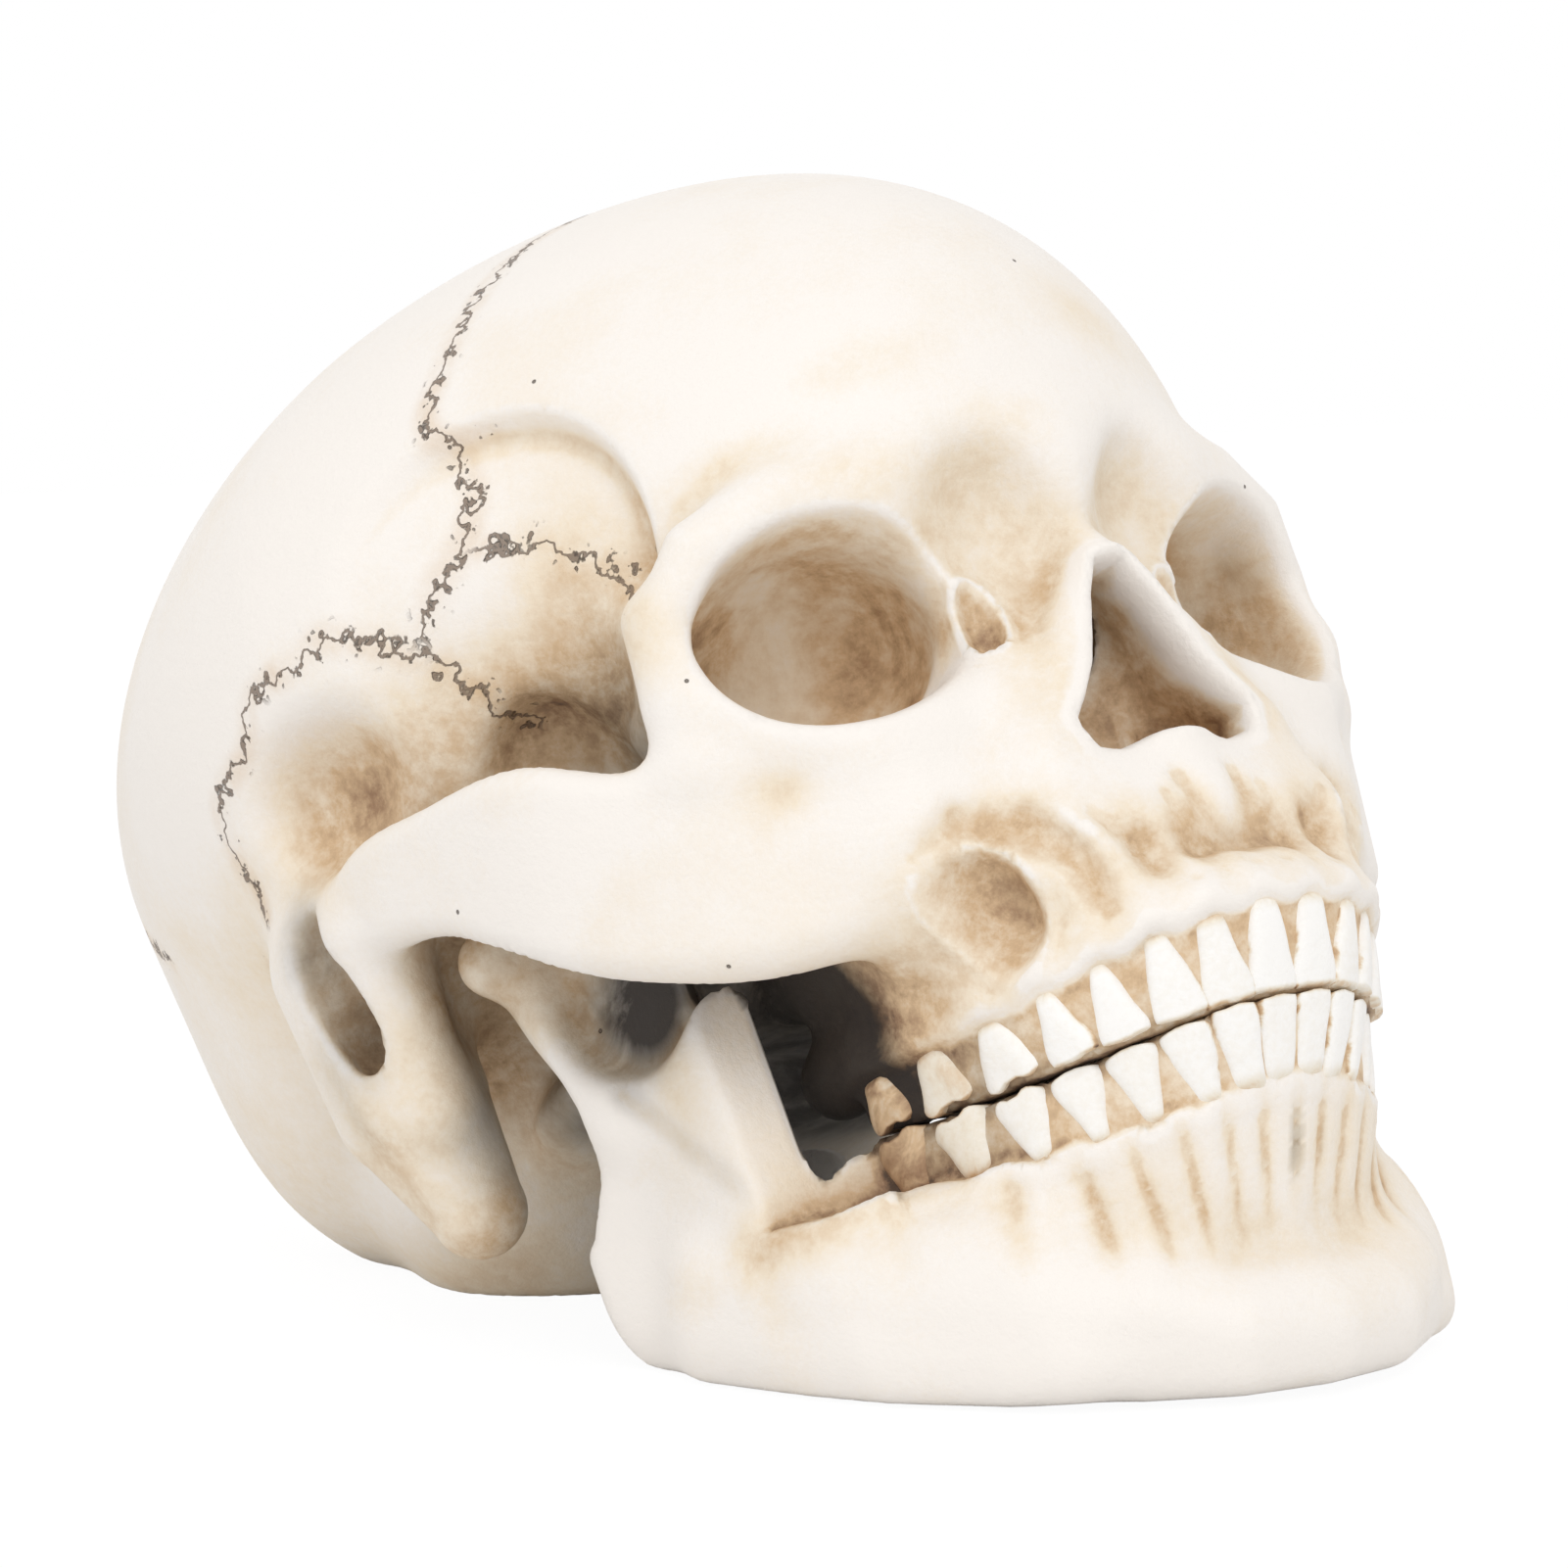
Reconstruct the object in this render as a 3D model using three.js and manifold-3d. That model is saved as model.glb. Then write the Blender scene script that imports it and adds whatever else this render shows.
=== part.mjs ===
// Life-size skull ornament: a cast cranium and a cast lower jaw on two pins, with 32 separate teeth.
// Millimetres. The skull frame has its origin midway between the ear openings, +X to the skull's left,
// +Y to the back and +Z up with the head level. The finished part is tipped back to its resting pose.
import * as THREE from 'three';
import { mergeVertices } from 'three/addons/utils/BufferGeometryUtils.js';
import Module from 'manifold-3d';

const wasm = await Module();
wasm.setup();

// Driving sizes of the whole skull
const faceLength = 100;        // from the ear openings to the front teeth, which all share tables follow
const vaultHalfWidth = 70.4;
const vaultHalfLength = 95;
const vaultHalfHeight = 58.2;
const vaultRise = 44.8;        // centre of the brain case above the ear openings
const vaultSetBack = 4.6;      // and behind them
const vaultWall = 6;           // thickness of the casting round the hollow brain case
const templeNarrowingShare = 0.19;
const restPitch = THREE.MathUtils.degToRad(29.3);    // how far the face tips up at rest
const baseDrop = 47.2;         // ear openings above the surface it stands on, along the rest frame's up
const templeFadeStart = 20;    // the temple's hollow fades in from here, forward of the ear openings
const templeFadeLength = 25;

// Softness of the joins between modelled masses
const tightBlend = 3;
const closeBlend = 5;
const easyBlend = 8;
const wideBlend = 14;

// Jaw joint and its pins
const hingeBack = -11;         // hinge axis behind the ear openings
const hingeRise = -1.5;        // and above them
const condyleInner = 44;       // centres of the condyle's two round ends, from the middle
const condyleOuter = 53;
const condyleRadius = 4.5;
const jawClearance = 1.5;      // gap kept between the faceted cranium and the jaw
const condyleClearance = 0.4;  // gap between each condyle and its socket in the cranium
const pinRadius = 1.5;
const pinClearance = 0.3;
const pinCover = 5;            // casting left over the outer end of each pin
const pinGrip = 9;             // how far each pin reaches inward past the condyle
const bossRadius = 4.5;        // the lug on the skull base that holds the pin
const bossCover = 9;           // casting left over the inner end of each pin
const pinOuter = condyleOuter + condyleRadius - pinCover;
const pinInner = condyleInner - pinGrip;
const pinLength = pinOuter - pinInner;

// Teeth
const toothClearance = 0.3;    // between a tooth and its socket
const toothGap = 0.4;          // between neighbours
const biteGap = 0.5;           // between the upper and lower rows
const rootShare = 0.05;        // shares of faceLength: a tooth's length below its gum line
const frontCrownShare = 0.094; // gum to bite at the front
const backCrownShare = 0.062;  // and at the last tooth
const lowerCrownShare = 0.086;
const upperDepthShares = [0.066, 0.062, 0.07, 0.074, 0.076, 0.086, 0.088, 0.08];
const lowerDepthShares = [0.056, 0.058, 0.066, 0.07, 0.072, 0.084, 0.086, 0.08];
const upperWidthShares = [0.078, 0.072, 0.076, 0.076, 0.078, 0.11, 0.112, 0.1];
const lowerWidthShares = [0.06, 0.064, 0.07, 0.074, 0.076, 0.094, 0.108, 0.106];
const frontBiteShare = -0.506; // height of the bite at the front teeth
const backBiteShare = -0.444;  // and at the last tooth
const biteBendShare = 0.2;     // length of row from the middle that stays level
const molarEndShare = 0.68;    // length of row to the last tooth's centre

// Casting grid: spacing of the faceted surface where it is detailed and where it is plain
const fineSpacing = 5.6;
const plainSpacing = 11;
const polishStep = 0.3;
const weldDistance = 0.003;
const cellMarginShare = 0.08;   // part of a grid cell that its vertex keeps clear of
const frontReachShare = 1.2;    // how far the grid runs to the front and down, against faceLength
const baseReachShare = 0.5;

// Foramen under the skull, which opens the hollow brain case
const foramenRadius = 15;
const foramenBack = 26;        // its centre behind the ear openings
const overrun = 45;            // how far cutting bodies run past what they cut

const chinSlopeShare = 0.13;   // rise of the chamfer under the chin against its run
const chinStart = 82;          // where it starts, forward of the ear openings
const soleDepth = 1.6;         // how far the jaw's rounded edge runs on below its flat sole
const soleBlend = 10;          // softness of that edge

const sized = (shares) => shares.map((row) => row.map((share) => share * faceLength));

// Tables below are shares of faceLength. A path row is across, back, up and radius.
const foreheadShares = [[0, -0.43, 0.32], [0.496, 0.486, 0.473]];
const occiputShares = [[0, 0.5, 0.147], [0.498, 0.499, 0.4]];
const templeShares = [[0.78, -0.44, 0.14], [0.26, 0.26, 0.24]];
const squamaShares = [[0.7, -0.26, 0.06], [0.14, 0.25, 0.19]];
const archHollowShares = [[0.71, -0.06, 0.26], [0.13, 0.16, 0.11]];
const faceCoreShares = [[0, -0.44, 0], [0.32, 0.26, 0.24]];
const browShares = [
  [0, -0.84, 0.29, 0.09], [0.11, -0.84, 0.28, 0.075], [0.24, -0.8, 0.29, 0.06],
  [0.36, -0.76, 0.295, 0.05], [0.46, -0.71, 0.26, 0.045], [0.51, -0.665, 0.19, 0.038],
  [0.52, -0.645, 0.09, 0.036], [0.52, -0.64, 0.02, 0.04],
];
const noseShares = [[0, -0.8, 0.22, 0.07], [0, -0.795, 0.16, 0.06], [0, -0.845, 0.09, 0.055]];
const noseSideShares = [
  [0.07, -0.79, 0.15, 0.05], [0.12, -0.8, 0.04, 0.055], [0.165, -0.82, -0.08, 0.06],
  [0.19, -0.87, -0.26, 0.06],
];
const noseRimShares = [
  [0, -0.885, 0.13, 0.03], [0.055, -0.885, 0.08, 0.03], [0.1, -0.885, 0, 0.03],
  [0.13, -0.88, -0.06, 0.03], [0.165, -0.865, -0.11, 0.035], [0.12, -0.87, -0.155, 0.035],
  [0, -0.885, -0.16, 0.035],
];
const eyeFloorShares = [
  [0.16, -0.81, -0.02, 0.045], [0.26, -0.79, -0.04, 0.05], [0.36, -0.765, -0.04, 0.05],
  [0.45, -0.715, 0, 0.04], [0.51, -0.67, 0.08, 0.036],
];
const spineShares = [[0, -0.9, -0.14, 0.025], [0, -0.86, -0.17, 0.05]];
const upperJawShares = [[0, -0.64, -0.2], [0.3, 0.24, 0.24]];
const cheekFillShares = [[0.27, -0.71, -0.16], [0.14, 0.12, 0.14]];
const orbitFloorShares = [[0.31, -0.62, -0.12], [0.13, 0.13, 0.1]];
const upperGumShares = [
  [0, -0.955, -0.375, 0.052], [0.1, -0.94, -0.375, 0.052], [0.155, -0.905, -0.38, 0.052],
  [0.195, -0.855, -0.385, 0.052], [0.228, -0.8, -0.39, 0.052], [0.255, -0.725, -0.385, 0.052],
  [0.273, -0.62, -0.37, 0.052], [0.28, -0.5, -0.355, 0.052], [0.28, -0.4, -0.345, 0.052],
];
const upperRootShares = [
  [0, -0.9, -0.24, 0.055], [0.1, -0.885, -0.25, 0.055], [0.165, -0.845, -0.26, 0.06],
  [0.215, -0.775, -0.27, 0.06], [0.255, -0.68, -0.26, 0.06], [0.28, -0.55, -0.24, 0.06],
  [0.27, -0.46, -0.22, 0.06],
];
const mastoidShares = [[0.57, 0.14, 0.1, 0.11], [0.55, 0.14, -0.1, 0.105], [0.51, 0.13, -0.27, 0.065]];
const skullBaseShares = [[0, 0.05, -0.16], [0.38, 0.3, 0.1]];
const napeShares = [[0, 0.42, -0.13], [0.41, 0.29, 0.25]];
const orbitShares = [[0.405, -0.95, 0.105, 0.175], [0.3, -0.62, 0.12, 0.15]];
const orbitEndShares = [[0.27, -0.56, 0.12], [0.16, 0.16, 0.15]];
const orbitLevelShare = 0.125;
const orbitSquashShare = 1.22;
const nostrilTopShares = [[0, -1, 0.05, 0.045], [0, -0.6, 0.03, 0.07]];
const nostrilSideShares = [[0.07, -1, -0.07, 0.055], [0.06, -0.56, -0.08, 0.085]];
const cheekGapShares = [[0.48, -0.31, -0.08], [0.13, 0.15, 0.34]];
const palateShares = [[0, -0.62, -0.42], [0.205, 0.28, 0.14]];
const templeRimShares = [-0.4, 0.37, 0.25, 0.06];    // back, up, radius and softness of the temple's rim
const templeDepthShare = 0.05;

// A wall row is across, back, lower edge, upper edge and half thickness.
const orbitWallShares = [
  [0.505, -0.63, -0.02, 0.24, 0.032], [0.41, -0.51, -0.06, 0.3, 0.04], [0.35, -0.43, -0.1, 0.34, 0.05],
];
const cheekShares = [
  [0.32, -0.75, -0.26, -0.02, 0.05], [0.43, -0.71, -0.28, -0.01, 0.045],
  [0.52, -0.64, -0.27, 0.01, 0.042], [0.585, -0.545, -0.225, 0.045, 0.038],
  [0.63, -0.42, -0.15, 0.115, 0.036], [0.645, -0.24, -0.02, 0.155, 0.034],
  [0.64, -0.09, 0, 0.175, 0.036], [0.6, 0.06, 0.02, 0.17, 0.06],
];
const cheekLeanShares = [0.086, 0.114, 0.08];        // lean inward, lean back and the level it starts from
const ramusShares = [
  [0.475, -0.09, -0.62, -0.39, 0.04], [0.465, -0.2, -0.75, -0.2, 0.036],
  [0.45, -0.35, -0.82, -0.24, 0.036], [0.42, -0.455, -0.88, -0.23, 0.036],
  [0.35, -0.53, -0.9, -0.56, 0.05], [0.29, -0.62, -0.9, -0.64, 0.055],
];
const ramusBackShares = [[0.3, -0.015, -0.27, 0.125], [0.7, -0.015, -0.27, 0.125]];
const neckShares = [[0.475, -0.2, -0.28, 0.045], [0.48, -0.15, -0.16, 0.045], [0.49, -0.11, -0.02, 0.045]];
const notchShares = [[0.3, -0.3, -0.14, 0.12], [0.7, -0.3, -0.14, 0.12]];
// Rows of the jaw body and its gum are in the rest frame, which the jaw's flat base follows.
const jawPitch = THREE.MathUtils.degToRad(32.3);
const jawBodyShares = [
  [0.46, -0.52, -0.52, -0.26, 0.055], [0.43, -0.62, -0.52, -0.26, 0.06], [0.37, -0.76, -0.52, -0.24, 0.07],
  [0.29, -0.9, -0.52, -0.24, 0.07], [0.2, -1.025, -0.52, -0.24, 0.07], [0.11, -1.09, -0.54, -0.26, 0.07],
  [0, -1.11, -0.54, -0.26, 0.07],
];
const lowerGumShares = [
  [0, -1.025, -0.34, 0.015, 0.05], [0.1, -1.005, -0.34, 0, 0.05], [0.155, -0.975, -0.34, -0.02, 0.05],
  [0.195, -0.93, -0.34, -0.04, 0.05], [0.228, -0.885, -0.34, -0.06, 0.05],
  [0.255, -0.83, -0.36, -0.09, 0.055], [0.27, -0.735, -0.38, -0.13, 0.055],
  [0.305, -0.64, -0.38, -0.155, 0.055],
];
// Outer face of the two rows of teeth: across and back
const upperArchShares = [
  [0, -0.99], [0.06, -0.985], [0.12, -0.965], [0.17, -0.93], [0.225, -0.875], [0.27, -0.815],
  [0.298, -0.725], [0.315, -0.615], [0.325, -0.495], [0.325, -0.38],
];
const lowerArchShares = [
  [0, -0.945], [0.06, -0.938], [0.12, -0.91], [0.165, -0.87], [0.22, -0.812], [0.262, -0.752],
  [0.29, -0.665], [0.308, -0.56], [0.32, -0.44], [0.32, -0.34],
];
// Outline of a tooth from its root tip to its bite: half width as a share, and height on crown or root
const upperOutlineShares = [[0.34, 1, 1], [0.62, 1, 0.2], [0.74, 0.9, 0], [1, 0.12, 0], [0.88, 0, 0]];
const lowerOutlineShares = [[0.34, 1, 1], [0.58, 1, 0.2], [0.7, 0.9, 0], [1, 0.15, 0], [0.88, 0, 0]];
const toothSides = 8;
const tongueTaperShare = 0.36;    // how much narrower a tooth is on its tongue side

// Looks
const boneColour = 0xece3d2;
const toothColour = 0xf0e8da;
const pinColour = 0x9a9a98;

// Field maths: a field is negative inside, and its value is close to the distance in millimetres
const clamp = (value) => Math.min(Math.max(value, 0), 1);

function join(a, b, blend) {
  const t = clamp(0.5 + 0.5 * (b - a) / blend);
  return b + (a - b) * t - blend * t * (1 - t);
}

function carve(a, b, blend) {
  return -join(-a, b, blend);
}

function ovoid([x, y, z], [centre, radii]) {
  const u = (x - centre[0]) / radii[0];
  const v = (y - centre[1]) / radii[1];
  const w = (z - centre[2]) / radii[2];
  const near = Math.hypot(u, v, w);
  const slope = Math.hypot(u / radii[0], v / radii[1], w / radii[2]) + Number.EPSILON;
  return near * (near - 1) / slope;
}

function block([x, y, z], [centre, halves], rounding) {
  const u = Math.abs(x - centre[0]) - halves[0] + rounding;
  const v = Math.abs(y - centre[1]) - halves[1] + rounding;
  const w = Math.abs(z - centre[2]) - halves[2] + rounding;
  const outside = Math.hypot(Math.max(u, 0), Math.max(v, 0), Math.max(w, 0));
  return outside + Math.min(Math.max(u, v, w), 0) - rounding;
}

function rod([x, y, z], path) {
  let nearest = Infinity;
  for (let i = 1; i < path.length; i += 1) {
    const [ax, ay, az, ar] = path[i - 1];
    const [bx, by, bz, br] = path[i];
    const dx = bx - ax;
    const dy = by - ay;
    const dz = bz - az;
    const t = clamp(((x - ax) * dx + (y - ay) * dy + (z - az) * dz) / (dx * dx + dy * dy + dz * dz));
    const away = Math.hypot(x - ax - t * dx, y - ay - t * dy, z - az - t * dz);
    nearest = Math.min(nearest, away - ar - (br - ar) * t);
  }
  return nearest;
}

function wall([x, y, z], path) {
  let nearest = Infinity;
  for (let i = 1; i < path.length; i += 1) {
    const [ax, ay, alow, ahigh, ar] = path[i - 1];
    const [bx, by, blow, bhigh, br] = path[i];
    const dx = bx - ax;
    const dy = by - ay;
    const t = clamp(((x - ax) * dx + (y - ay) * dy) / (dx * dx + dy * dy));
    const half = ar + (br - ar) * t;
    const low = alow + (blow - alow) * t + half;
    const high = ahigh + (bhigh - ahigh) * t - half;
    const past = Math.max(low - z, z - high, 0);
    nearest = Math.min(nearest, Math.hypot(x - ax - t * dx, y - ay - t * dy, past) - half);
  }
  return nearest;
}

function tip([x, y, z], pitch) {
  const c = Math.cos(pitch);
  const s = Math.sin(pitch);
  return [x, y * c + z * s, z * c - y * s];
}

// Paths and bodies at their real size
const forehead = sized(foreheadShares);
const occiput = sized(occiputShares);
const temple = sized(templeShares);
const squama = sized(squamaShares);
const archHollow = sized(archHollowShares);
const faceCore = sized(faceCoreShares);
const brow = sized(browShares);
const nose = sized(noseShares);
const noseSide = sized(noseSideShares);
const noseRim = sized(noseRimShares);
const eyeFloor = sized(eyeFloorShares);
const spine = sized(spineShares);
const upperJaw = sized(upperJawShares);
const cheekFill = sized(cheekFillShares);
const orbitFloor = sized(orbitFloorShares);
const upperGum = sized(upperGumShares);
const upperRoot = sized(upperRootShares);
const mastoid = sized(mastoidShares);
const skullBase = sized(skullBaseShares);
const nape = sized(napeShares);
const orbit = sized(orbitShares);
const orbitEnd = sized(orbitEndShares);
const nostrilTop = sized(nostrilTopShares);
const nostrilSide = sized(nostrilSideShares);
const cheekGap = sized(cheekGapShares);
const palate = sized(palateShares);
const orbitWall = sized(orbitWallShares);
const cheek = sized(cheekShares);
const ramus = sized(ramusShares);
const ramusBack = sized(ramusBackShares);
const neck = sized(neckShares);
const notch = sized(notchShares);
const jawBody = sized(jawBodyShares);
const lowerGum = sized(lowerGumShares);
const [templeRimBack, templeRimUp, templeRimRadius, templeRimSoft] = sized([templeRimShares])[0];
const templeDepth = templeDepthShare * faceLength;
const orbitLevel = orbitLevelShare * faceLength;
const [leanIn, leanBack, leanLevelShare] = cheekLeanShares;
const leanLevel = leanLevelShare * faceLength;
const vaultCentre = [0, vaultSetBack, vaultRise];
const vaultRadii = [vaultHalfWidth, vaultHalfLength, vaultHalfHeight];
const condyle = [
  [condyleInner, hingeBack, hingeRise, condyleRadius],
  [condyleOuter, hingeBack, hingeRise, condyleRadius],
];
const boss = [
  [pinInner - bossCover, hingeBack, hingeRise, bossRadius],
  [condyleInner - condyleRadius, hingeBack, hingeRise, bossRadius],
];

// Brain case: an egg that narrows to the temples, with the forehead and the back of the head
function vaultField([x, y, z]) {
  const forward = clamp((-y - closeBlend) / (vaultHalfLength - wideBlend));
  const narrow = 1 - templeNarrowingShare * forward ** 1.3;
  const egg = ovoid([x / narrow, y, z], [vaultCentre, vaultRadii]);
  return join(join(egg, ovoid([x, y, z], forehead), easyBlend), ovoid([x, y, z], occiput), wideBlend);
}

// The temple sinks behind a curved rim and fades toward the back of the head
function templeSink([, y, z]) {
  const away = Math.hypot(y - templeRimBack, z - templeRimUp);
  const inside = clamp((templeRimRadius - away) / templeRimSoft);
  const fade = clamp((-y - templeFadeStart) / templeFadeLength);
  return templeDepth * inside * fade * inside * (3 - 2 * inside);
}

function jawField(point) {
  const p = [Math.abs(point[0]), point[1], point[2]];
  const r = tip(p, jawPitch);
  let d = join(wall(p, ramus), wall(r, jawBody), easyBlend);
  d = join(d, wall(r, lowerGum), easyBlend);
  d = join(d, rod(p, neck), closeBlend);
  d = carve(d, rod(p, notch), tightBlend);
  d = carve(d, rod(p, ramusBack), closeBlend);
  d = join(d, rod(p, condyle), tightBlend);
  const chinLevel = -baseDrop + chinSlopeShare * (-r[1] - chinStart);
  d = carve(d, r[2] - chinLevel, closeBlend);
  return carve(d, tip(p, restPitch)[2] + baseDrop + soleDepth, soleBlend);
}

function craniumField(point) {
  const p = [Math.abs(point[0]), point[1], point[2]];
  let d = vaultField(p) + templeSink(p);
  d = carve(d, ovoid(p, temple), wideBlend);
  d = carve(d, ovoid(p, squama), easyBlend);
  d = carve(d, ovoid(p, archHollow), closeBlend);
  d = join(d, block(p, faceCore, easyBlend), easyBlend);
  d = join(d, wall(p, orbitWall), closeBlend);
  d = join(d, rod(p, brow), closeBlend);
  d = join(d, rod(p, nose), closeBlend);
  d = join(d, rod(p, noseSide), closeBlend);
  d = join(d, rod(p, noseRim), closeBlend);
  d = join(d, rod(p, eyeFloor), closeBlend);
  const lean = leanLevel - p[2];
  d = join(d, wall([p[0] + leanIn * lean, p[1] - leanBack * lean, p[2]], cheek), closeBlend);
  d = join(d, ovoid(p, upperJaw), easyBlend);
  d = join(d, ovoid(p, cheekFill), easyBlend);
  d = join(d, ovoid(p, orbitFloor), closeBlend);
  d = join(d, join(rod(p, upperGum), rod(p, upperRoot), easyBlend), easyBlend);
  d = join(d, rod(p, spine), closeBlend);
  d = join(d, rod(p, mastoid), easyBlend);
  d = join(d, ovoid(p, skullBase), easyBlend);
  d = join(d, ovoid(p, nape), easyBlend);
  const tall = [p[0], p[1], orbitLevel + (p[2] - orbitLevel) * orbitSquashShare];
  d = carve(d, join(rod(tall, orbit), ovoid(tall, orbitEnd), closeBlend), closeBlend);
  d = carve(d, join(rod(p, nostrilTop), rod(p, nostrilSide), closeBlend), tightBlend);
  d = carve(d, ovoid(p, cheekGap), closeBlend);
  d = carve(d, ovoid(p, palate), closeBlend);
  d = join(d, rod(p, boss), tightBlend);
  return Math.max(d, jawClearance - jawField(point));
}

// Faceted casting of a field: one vertex in each cell that the surface crosses
const cornerSteps = [[0, 0, 0], [1, 0, 0], [0, 1, 0], [1, 1, 0], [0, 0, 1], [1, 0, 1], [0, 1, 1], [1, 1, 1]];

function isOnePiece(pattern, wanted) {
  const members = [0, 1, 2, 3, 4, 5, 6, 7].filter((index) => (pattern >> index & 1) === wanted);
  if (members.length === 0) return true;
  const reached = new Set([members[0]]);
  const queue = [members[0]];
  while (queue.length > 0) {
    const corner = queue.pop();
    for (const bit of [1, 2, 4]) {
      const next = corner ^ bit;
      if (members.includes(next) && !reached.has(next)) {
        reached.add(next);
        queue.push(next);
      }
    }
  }
  return reached.size === members.length;
}

const simplePattern = Array.from({ length: 256 }, (unused, pattern) => (
  isOnePiece(pattern, 0) && isOnePiece(pattern, 1)));

function gridLines(low, high, fineLow, fineHigh) {
  const lines = [];
  for (let at = fineLow; at < fineHigh + fineSpacing; at += fineSpacing) lines.push(at);
  for (let at = fineLow - plainSpacing; at > low - plainSpacing; at -= plainSpacing) lines.unshift(at);
  for (let at = lines[lines.length - 1] + plainSpacing; at < high + plainSpacing; at += plainSpacing) lines.push(at);
  return lines;
}

function castSurface(field, xs, ys, zs) {
  const counts = [xs.length, ys.length, zs.length];
  const place = (i, j, k) => (k * counts[1] + j) * counts[0] + i;
  const values = new Float64Array(counts[0] * counts[1] * counts[2]);
  const eachCell = (visit) => {
    for (let k = 0; k < counts[2] - 1; k += 1) {
      for (let j = 0; j < counts[1] - 1; j += 1) {
        for (let i = 0; i < counts[0] - 1; i += 1) visit(i, j, k);
      }
    }
  };
  for (let k = 0; k < counts[2]; k += 1) {
    for (let j = 0; j < counts[1]; j += 1) {
      for (let i = 0; i < counts[0]; i += 1) values[place(i, j, k)] = field([xs[i], ys[j], zs[k]]);
    }
  }
  const cornersOf = (i, j, k) => cornerSteps.map(([a, b, c]) => place(i + a, j + b, k + c));
  const patternOf = (corners) => corners.reduce((sum, corner, index) => sum | (values[corner] < 0) << index, 0);

  // A cell that two sheets cross is filled at its shallowest outer corner until one sheet is left
  let filled = true;
  while (filled) {
    filled = false;
    eachCell((i, j, k) => {
      const corners = cornersOf(i, j, k);
      if (simplePattern[patternOf(corners)]) return;
      const outer = corners.filter((corner) => values[corner] >= 0);
      outer.sort((a, b) => values[a] - values[b]);
      values[outer[0]] = -polishStep;
      filled = true;
    });
  }

  const points = [];
  const vertexAt = new Int32Array(values.length).fill(-1);
  eachCell((i, j, k) => {
    const corners = cornersOf(i, j, k);
    const pattern = patternOf(corners);
    if (pattern === 0 || pattern === 255) return;
    const low = [xs[i], ys[j], zs[k]];
    const size = [xs[i + 1] - xs[i], ys[j + 1] - ys[j], zs[k + 1] - zs[k]];
    const sum = [0, 0, 0];
    let crossings = 0;
    for (let a = 0; a < cornerSteps.length; a += 1) {
      for (let axis = 0; axis < 3; axis += 1) {
        const b = a | 1 << axis;
        if (b === a || (pattern >> a & 1) === (pattern >> b & 1)) continue;
        const along = values[corners[a]] / (values[corners[a]] - values[corners[b]]);
        for (let m = 0; m < 3; m += 1) {
          sum[m] += low[m] + (cornerSteps[a][m] + (m === axis ? along : 0)) * size[m];
        }
        crossings += 1;
      }
    }
    const point = sum.map((value) => value / crossings);
    polish(field, point, low, size);
    vertexAt[place(i, j, k)] = points.length;
    points.push(point);
  });

  const triangles = [];
  const ring = (cells, outward) => {
    const quad = cells.map(([i, j, k]) => vertexAt[place(i, j, k)]);
    if (!outward) quad.reverse();
    const span = (a, b) => Math.hypot(...points[quad[a]].map((value, m) => value - points[quad[b]][m]));
    if (span(0, 2) < span(1, 3)) triangles.push([quad[0], quad[1], quad[2]], [quad[0], quad[2], quad[3]]);
    else triangles.push([quad[1], quad[2], quad[3]], [quad[1], quad[3], quad[0]]);
  };
  eachCell((i, j, k) => {
    const inside = values[place(i, j, k)] < 0;
    if (inside !== values[place(i + 1, j, k)] < 0) {
      ring([[i, j - 1, k - 1], [i, j, k - 1], [i, j, k], [i, j - 1, k]], inside);
    }
    if (inside !== values[place(i, j + 1, k)] < 0) {
      ring([[i - 1, j, k - 1], [i - 1, j, k], [i, j, k], [i, j, k - 1]], inside);
    }
    if (inside !== values[place(i, j, k + 1)] < 0) {
      ring([[i - 1, j - 1, k], [i, j - 1, k], [i, j, k], [i - 1, j, k]], inside);
    }
  });
  return { points, triangles };
}

// Moves a vertex onto the true surface but keeps it well inside its own cell
function polish(field, point, low, size) {
  for (let turn = 0; turn < 2; turn += 1) {
    const value = field(point);
    const slope = point.map((unused, axis) => {
      const ahead = [...point];
      ahead[axis] += polishStep;
      return (field(ahead) - value) / polishStep;
    });
    const steep = slope.reduce((sum, part) => sum + part * part, 0) + Number.EPSILON;
    for (let m = 0; m < 3; m += 1) {
      const moved = point[m] - value * slope[m] / steep;
      const margin = cellMarginShare * size[m];
      point[m] = Math.min(Math.max(moved, low[m] + margin), low[m] + size[m] - margin);
    }
  }
}

// Solids and geometry
function solidOf(points, triangles) {
  const vertProperties = Float32Array.from(points.flat());
  const triVerts = Uint32Array.from(triangles.flat());
  return new wasm.Manifold(new wasm.Mesh({ numProp: 3, vertProperties, triVerts }));
}

function solidOfGeometry(geometry) {
  const bare = geometry.clone();
  bare.deleteAttribute('normal');
  bare.deleteAttribute('uv');
  const merged = mergeVertices(bare, weldDistance);
  const vertProperties = Float32Array.from(merged.attributes.position.array);
  const index = Array.from(merged.index.array);
  const whole = [];
  for (let i = 0; i < index.length; i += 3) {
    const [a, b, c] = index.slice(i, i + 3);
    if (a !== b && b !== c && c !== a) whole.push(a, b, c);
  }
  const triVerts = Uint32Array.from(whole);
  return new wasm.Manifold(new wasm.Mesh({ numProp: 3, vertProperties, triVerts }));
}

function geometryOf(solid) {
  const mesh = solid.getMesh();
  const geometry = new THREE.BufferGeometry();
  geometry.setAttribute('position', new THREE.BufferAttribute(mesh.vertProperties, 3));
  geometry.setIndex(new THREE.BufferAttribute(mesh.triVerts, 1));
  geometry.computeVertexNormals();
  return geometry;
}

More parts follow.
